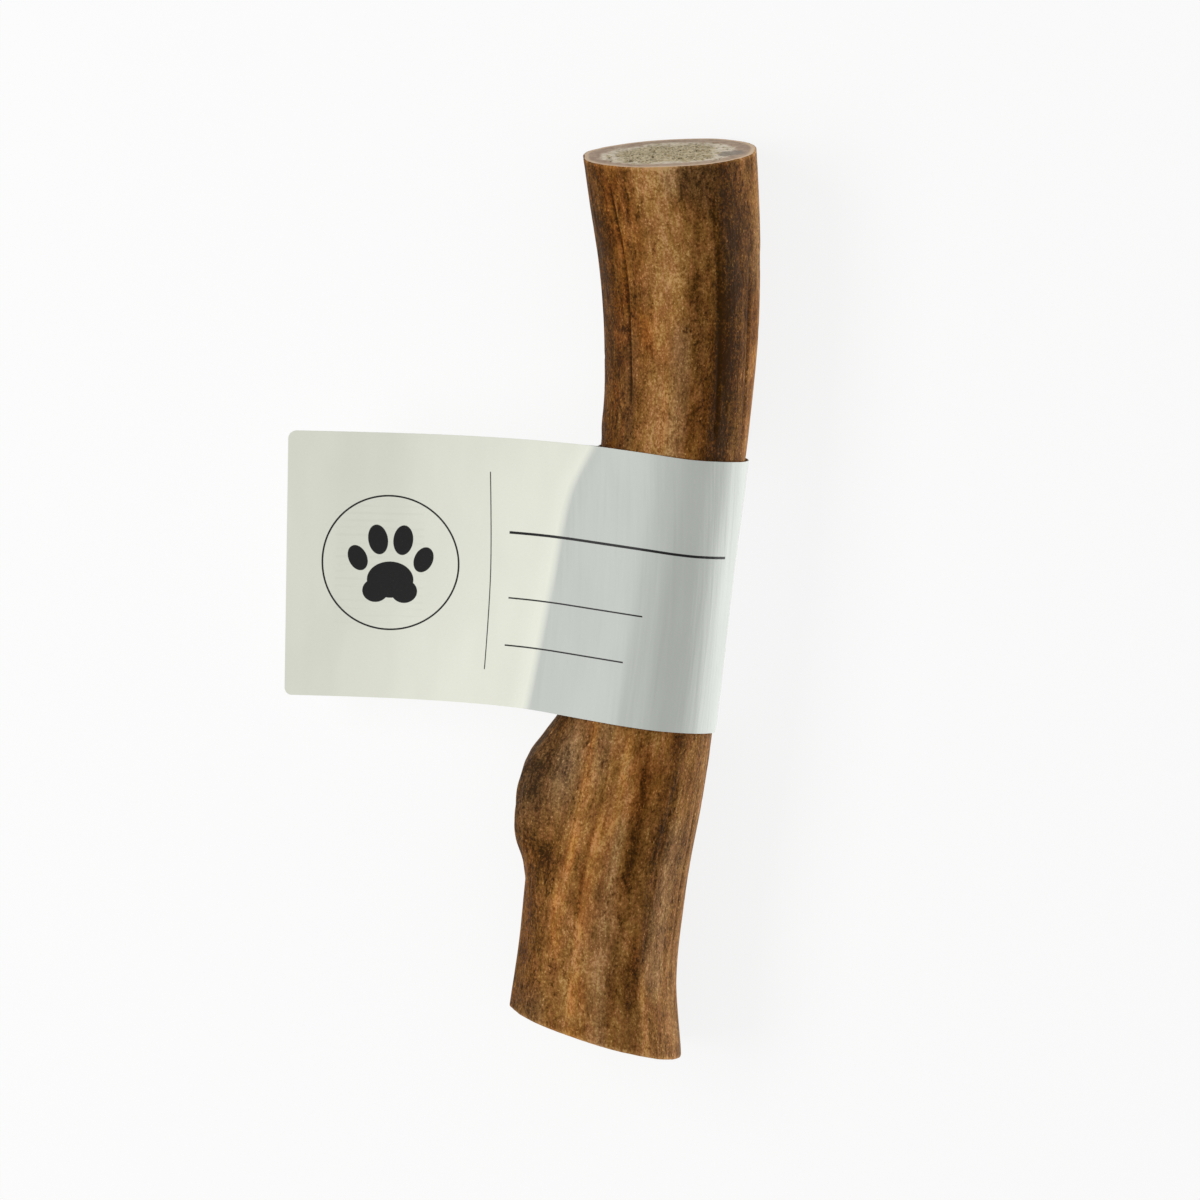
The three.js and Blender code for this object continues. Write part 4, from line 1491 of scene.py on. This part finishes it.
class ANTLER_OT_add_beam(bpy.types.Operator):
    """Build the antler with its sawn ends"""

    bl_idname = "antler.add_beam"
    bl_label = "Add Antler"

    def execute(self, context):
        piece = build_antler(context.scene.antler_horn)
        piece.data.materials.append(horn_material(context.scene.antler_horn))
        piece.data.materials.append(sawn_material(context.scene.antler_sawn))
        return {"FINISHED"}


class ANTLER_OT_add_label(bpy.types.Operator):
    """Build the paper label that is wrapped round the antler"""

    bl_idname = "antler.add_label"
    bl_label = "Add Label"

    def execute(self, context):
        piece = build_label(context.scene.antler_label)
        piece.data.materials.append(paper_material(context.scene.antler_label))
        return {"FINISHED"}


class ANTLER_OT_set_stage(bpy.types.Operator):
    """Set up the floor, the lights and the camera"""

    bl_idname = "antler.set_stage"
    bl_label = "Set Up Studio"

    def execute(self, context):
        settings = context.scene.antler_studio
        stage_floor(settings)
        middle = Vector(CAMERA_TARGET) * MM
        soft_light("key_light", settings.key_power, KEY_LIGHT["size"], KEY_LIGHT["place"], middle)
        panel = soft_light("low_panel", settings.rim_power, LOW_PANEL["size"], LOW_PANEL["place"], middle)
        panel.rotation_euler = (np.pi, 0.0, np.radians(LOW_PANEL["turn"]))
        studio_sky(settings)
        studio_camera(settings)
        context.scene.view_settings.view_transform = "Standard"
        return {"FINISHED"}


class ANTLER_PT_panel(bpy.types.Panel):
    """Lists the pieces and their settings."""

    bl_label = "Reindeer Antler"
    bl_idname = "ANTLER_PT_panel"
    bl_space_type = "VIEW_3D"
    bl_region_type = "UI"
    bl_category = "Antler"

    def draw(self, context):
        rows = (
            (ANTLER_OT_add_beam, (context.scene.antler_horn, context.scene.antler_sawn)),
            (ANTLER_OT_add_label, (context.scene.antler_label,)),
            (ANTLER_OT_set_stage, (context.scene.antler_studio,)),
        )
        for operator, groups in rows:
            box = self.layout.box()
            box.operator(operator.bl_idname)
            for group in groups:
                for name in group.__annotations__:
                    box.prop(group, name)


CLASSES = (
    HornSettings, SawnSettings, LabelSettings, StudioSettings,
    ANTLER_OT_add_beam, ANTLER_OT_add_label, ANTLER_OT_set_stage, ANTLER_PT_panel,
)


def register():
    """Adds the settings, the operators and the panel."""
    for item in CLASSES:
        bpy.utils.register_class(item)
    bpy.types.Scene.antler_horn = PointerProperty(type=HornSettings)
    bpy.types.Scene.antler_sawn = PointerProperty(type=SawnSettings)
    bpy.types.Scene.antler_label = PointerProperty(type=LabelSettings)
    bpy.types.Scene.antler_studio = PointerProperty(type=StudioSettings)


def unregister():
    """Takes the settings, the operators and the panel away again."""
    del bpy.types.Scene.antler_studio
    del bpy.types.Scene.antler_label
    del bpy.types.Scene.antler_sawn
    del bpy.types.Scene.antler_horn
    for item in reversed(CLASSES):
        bpy.utils.unregister_class(item)


def main():
    """Builds the studio and the pieces."""
    register()
    bpy.ops.antler.set_stage()
    bpy.ops.antler.add_beam()
    bpy.ops.antler.add_label()


if __name__ == "__main__":
    main()
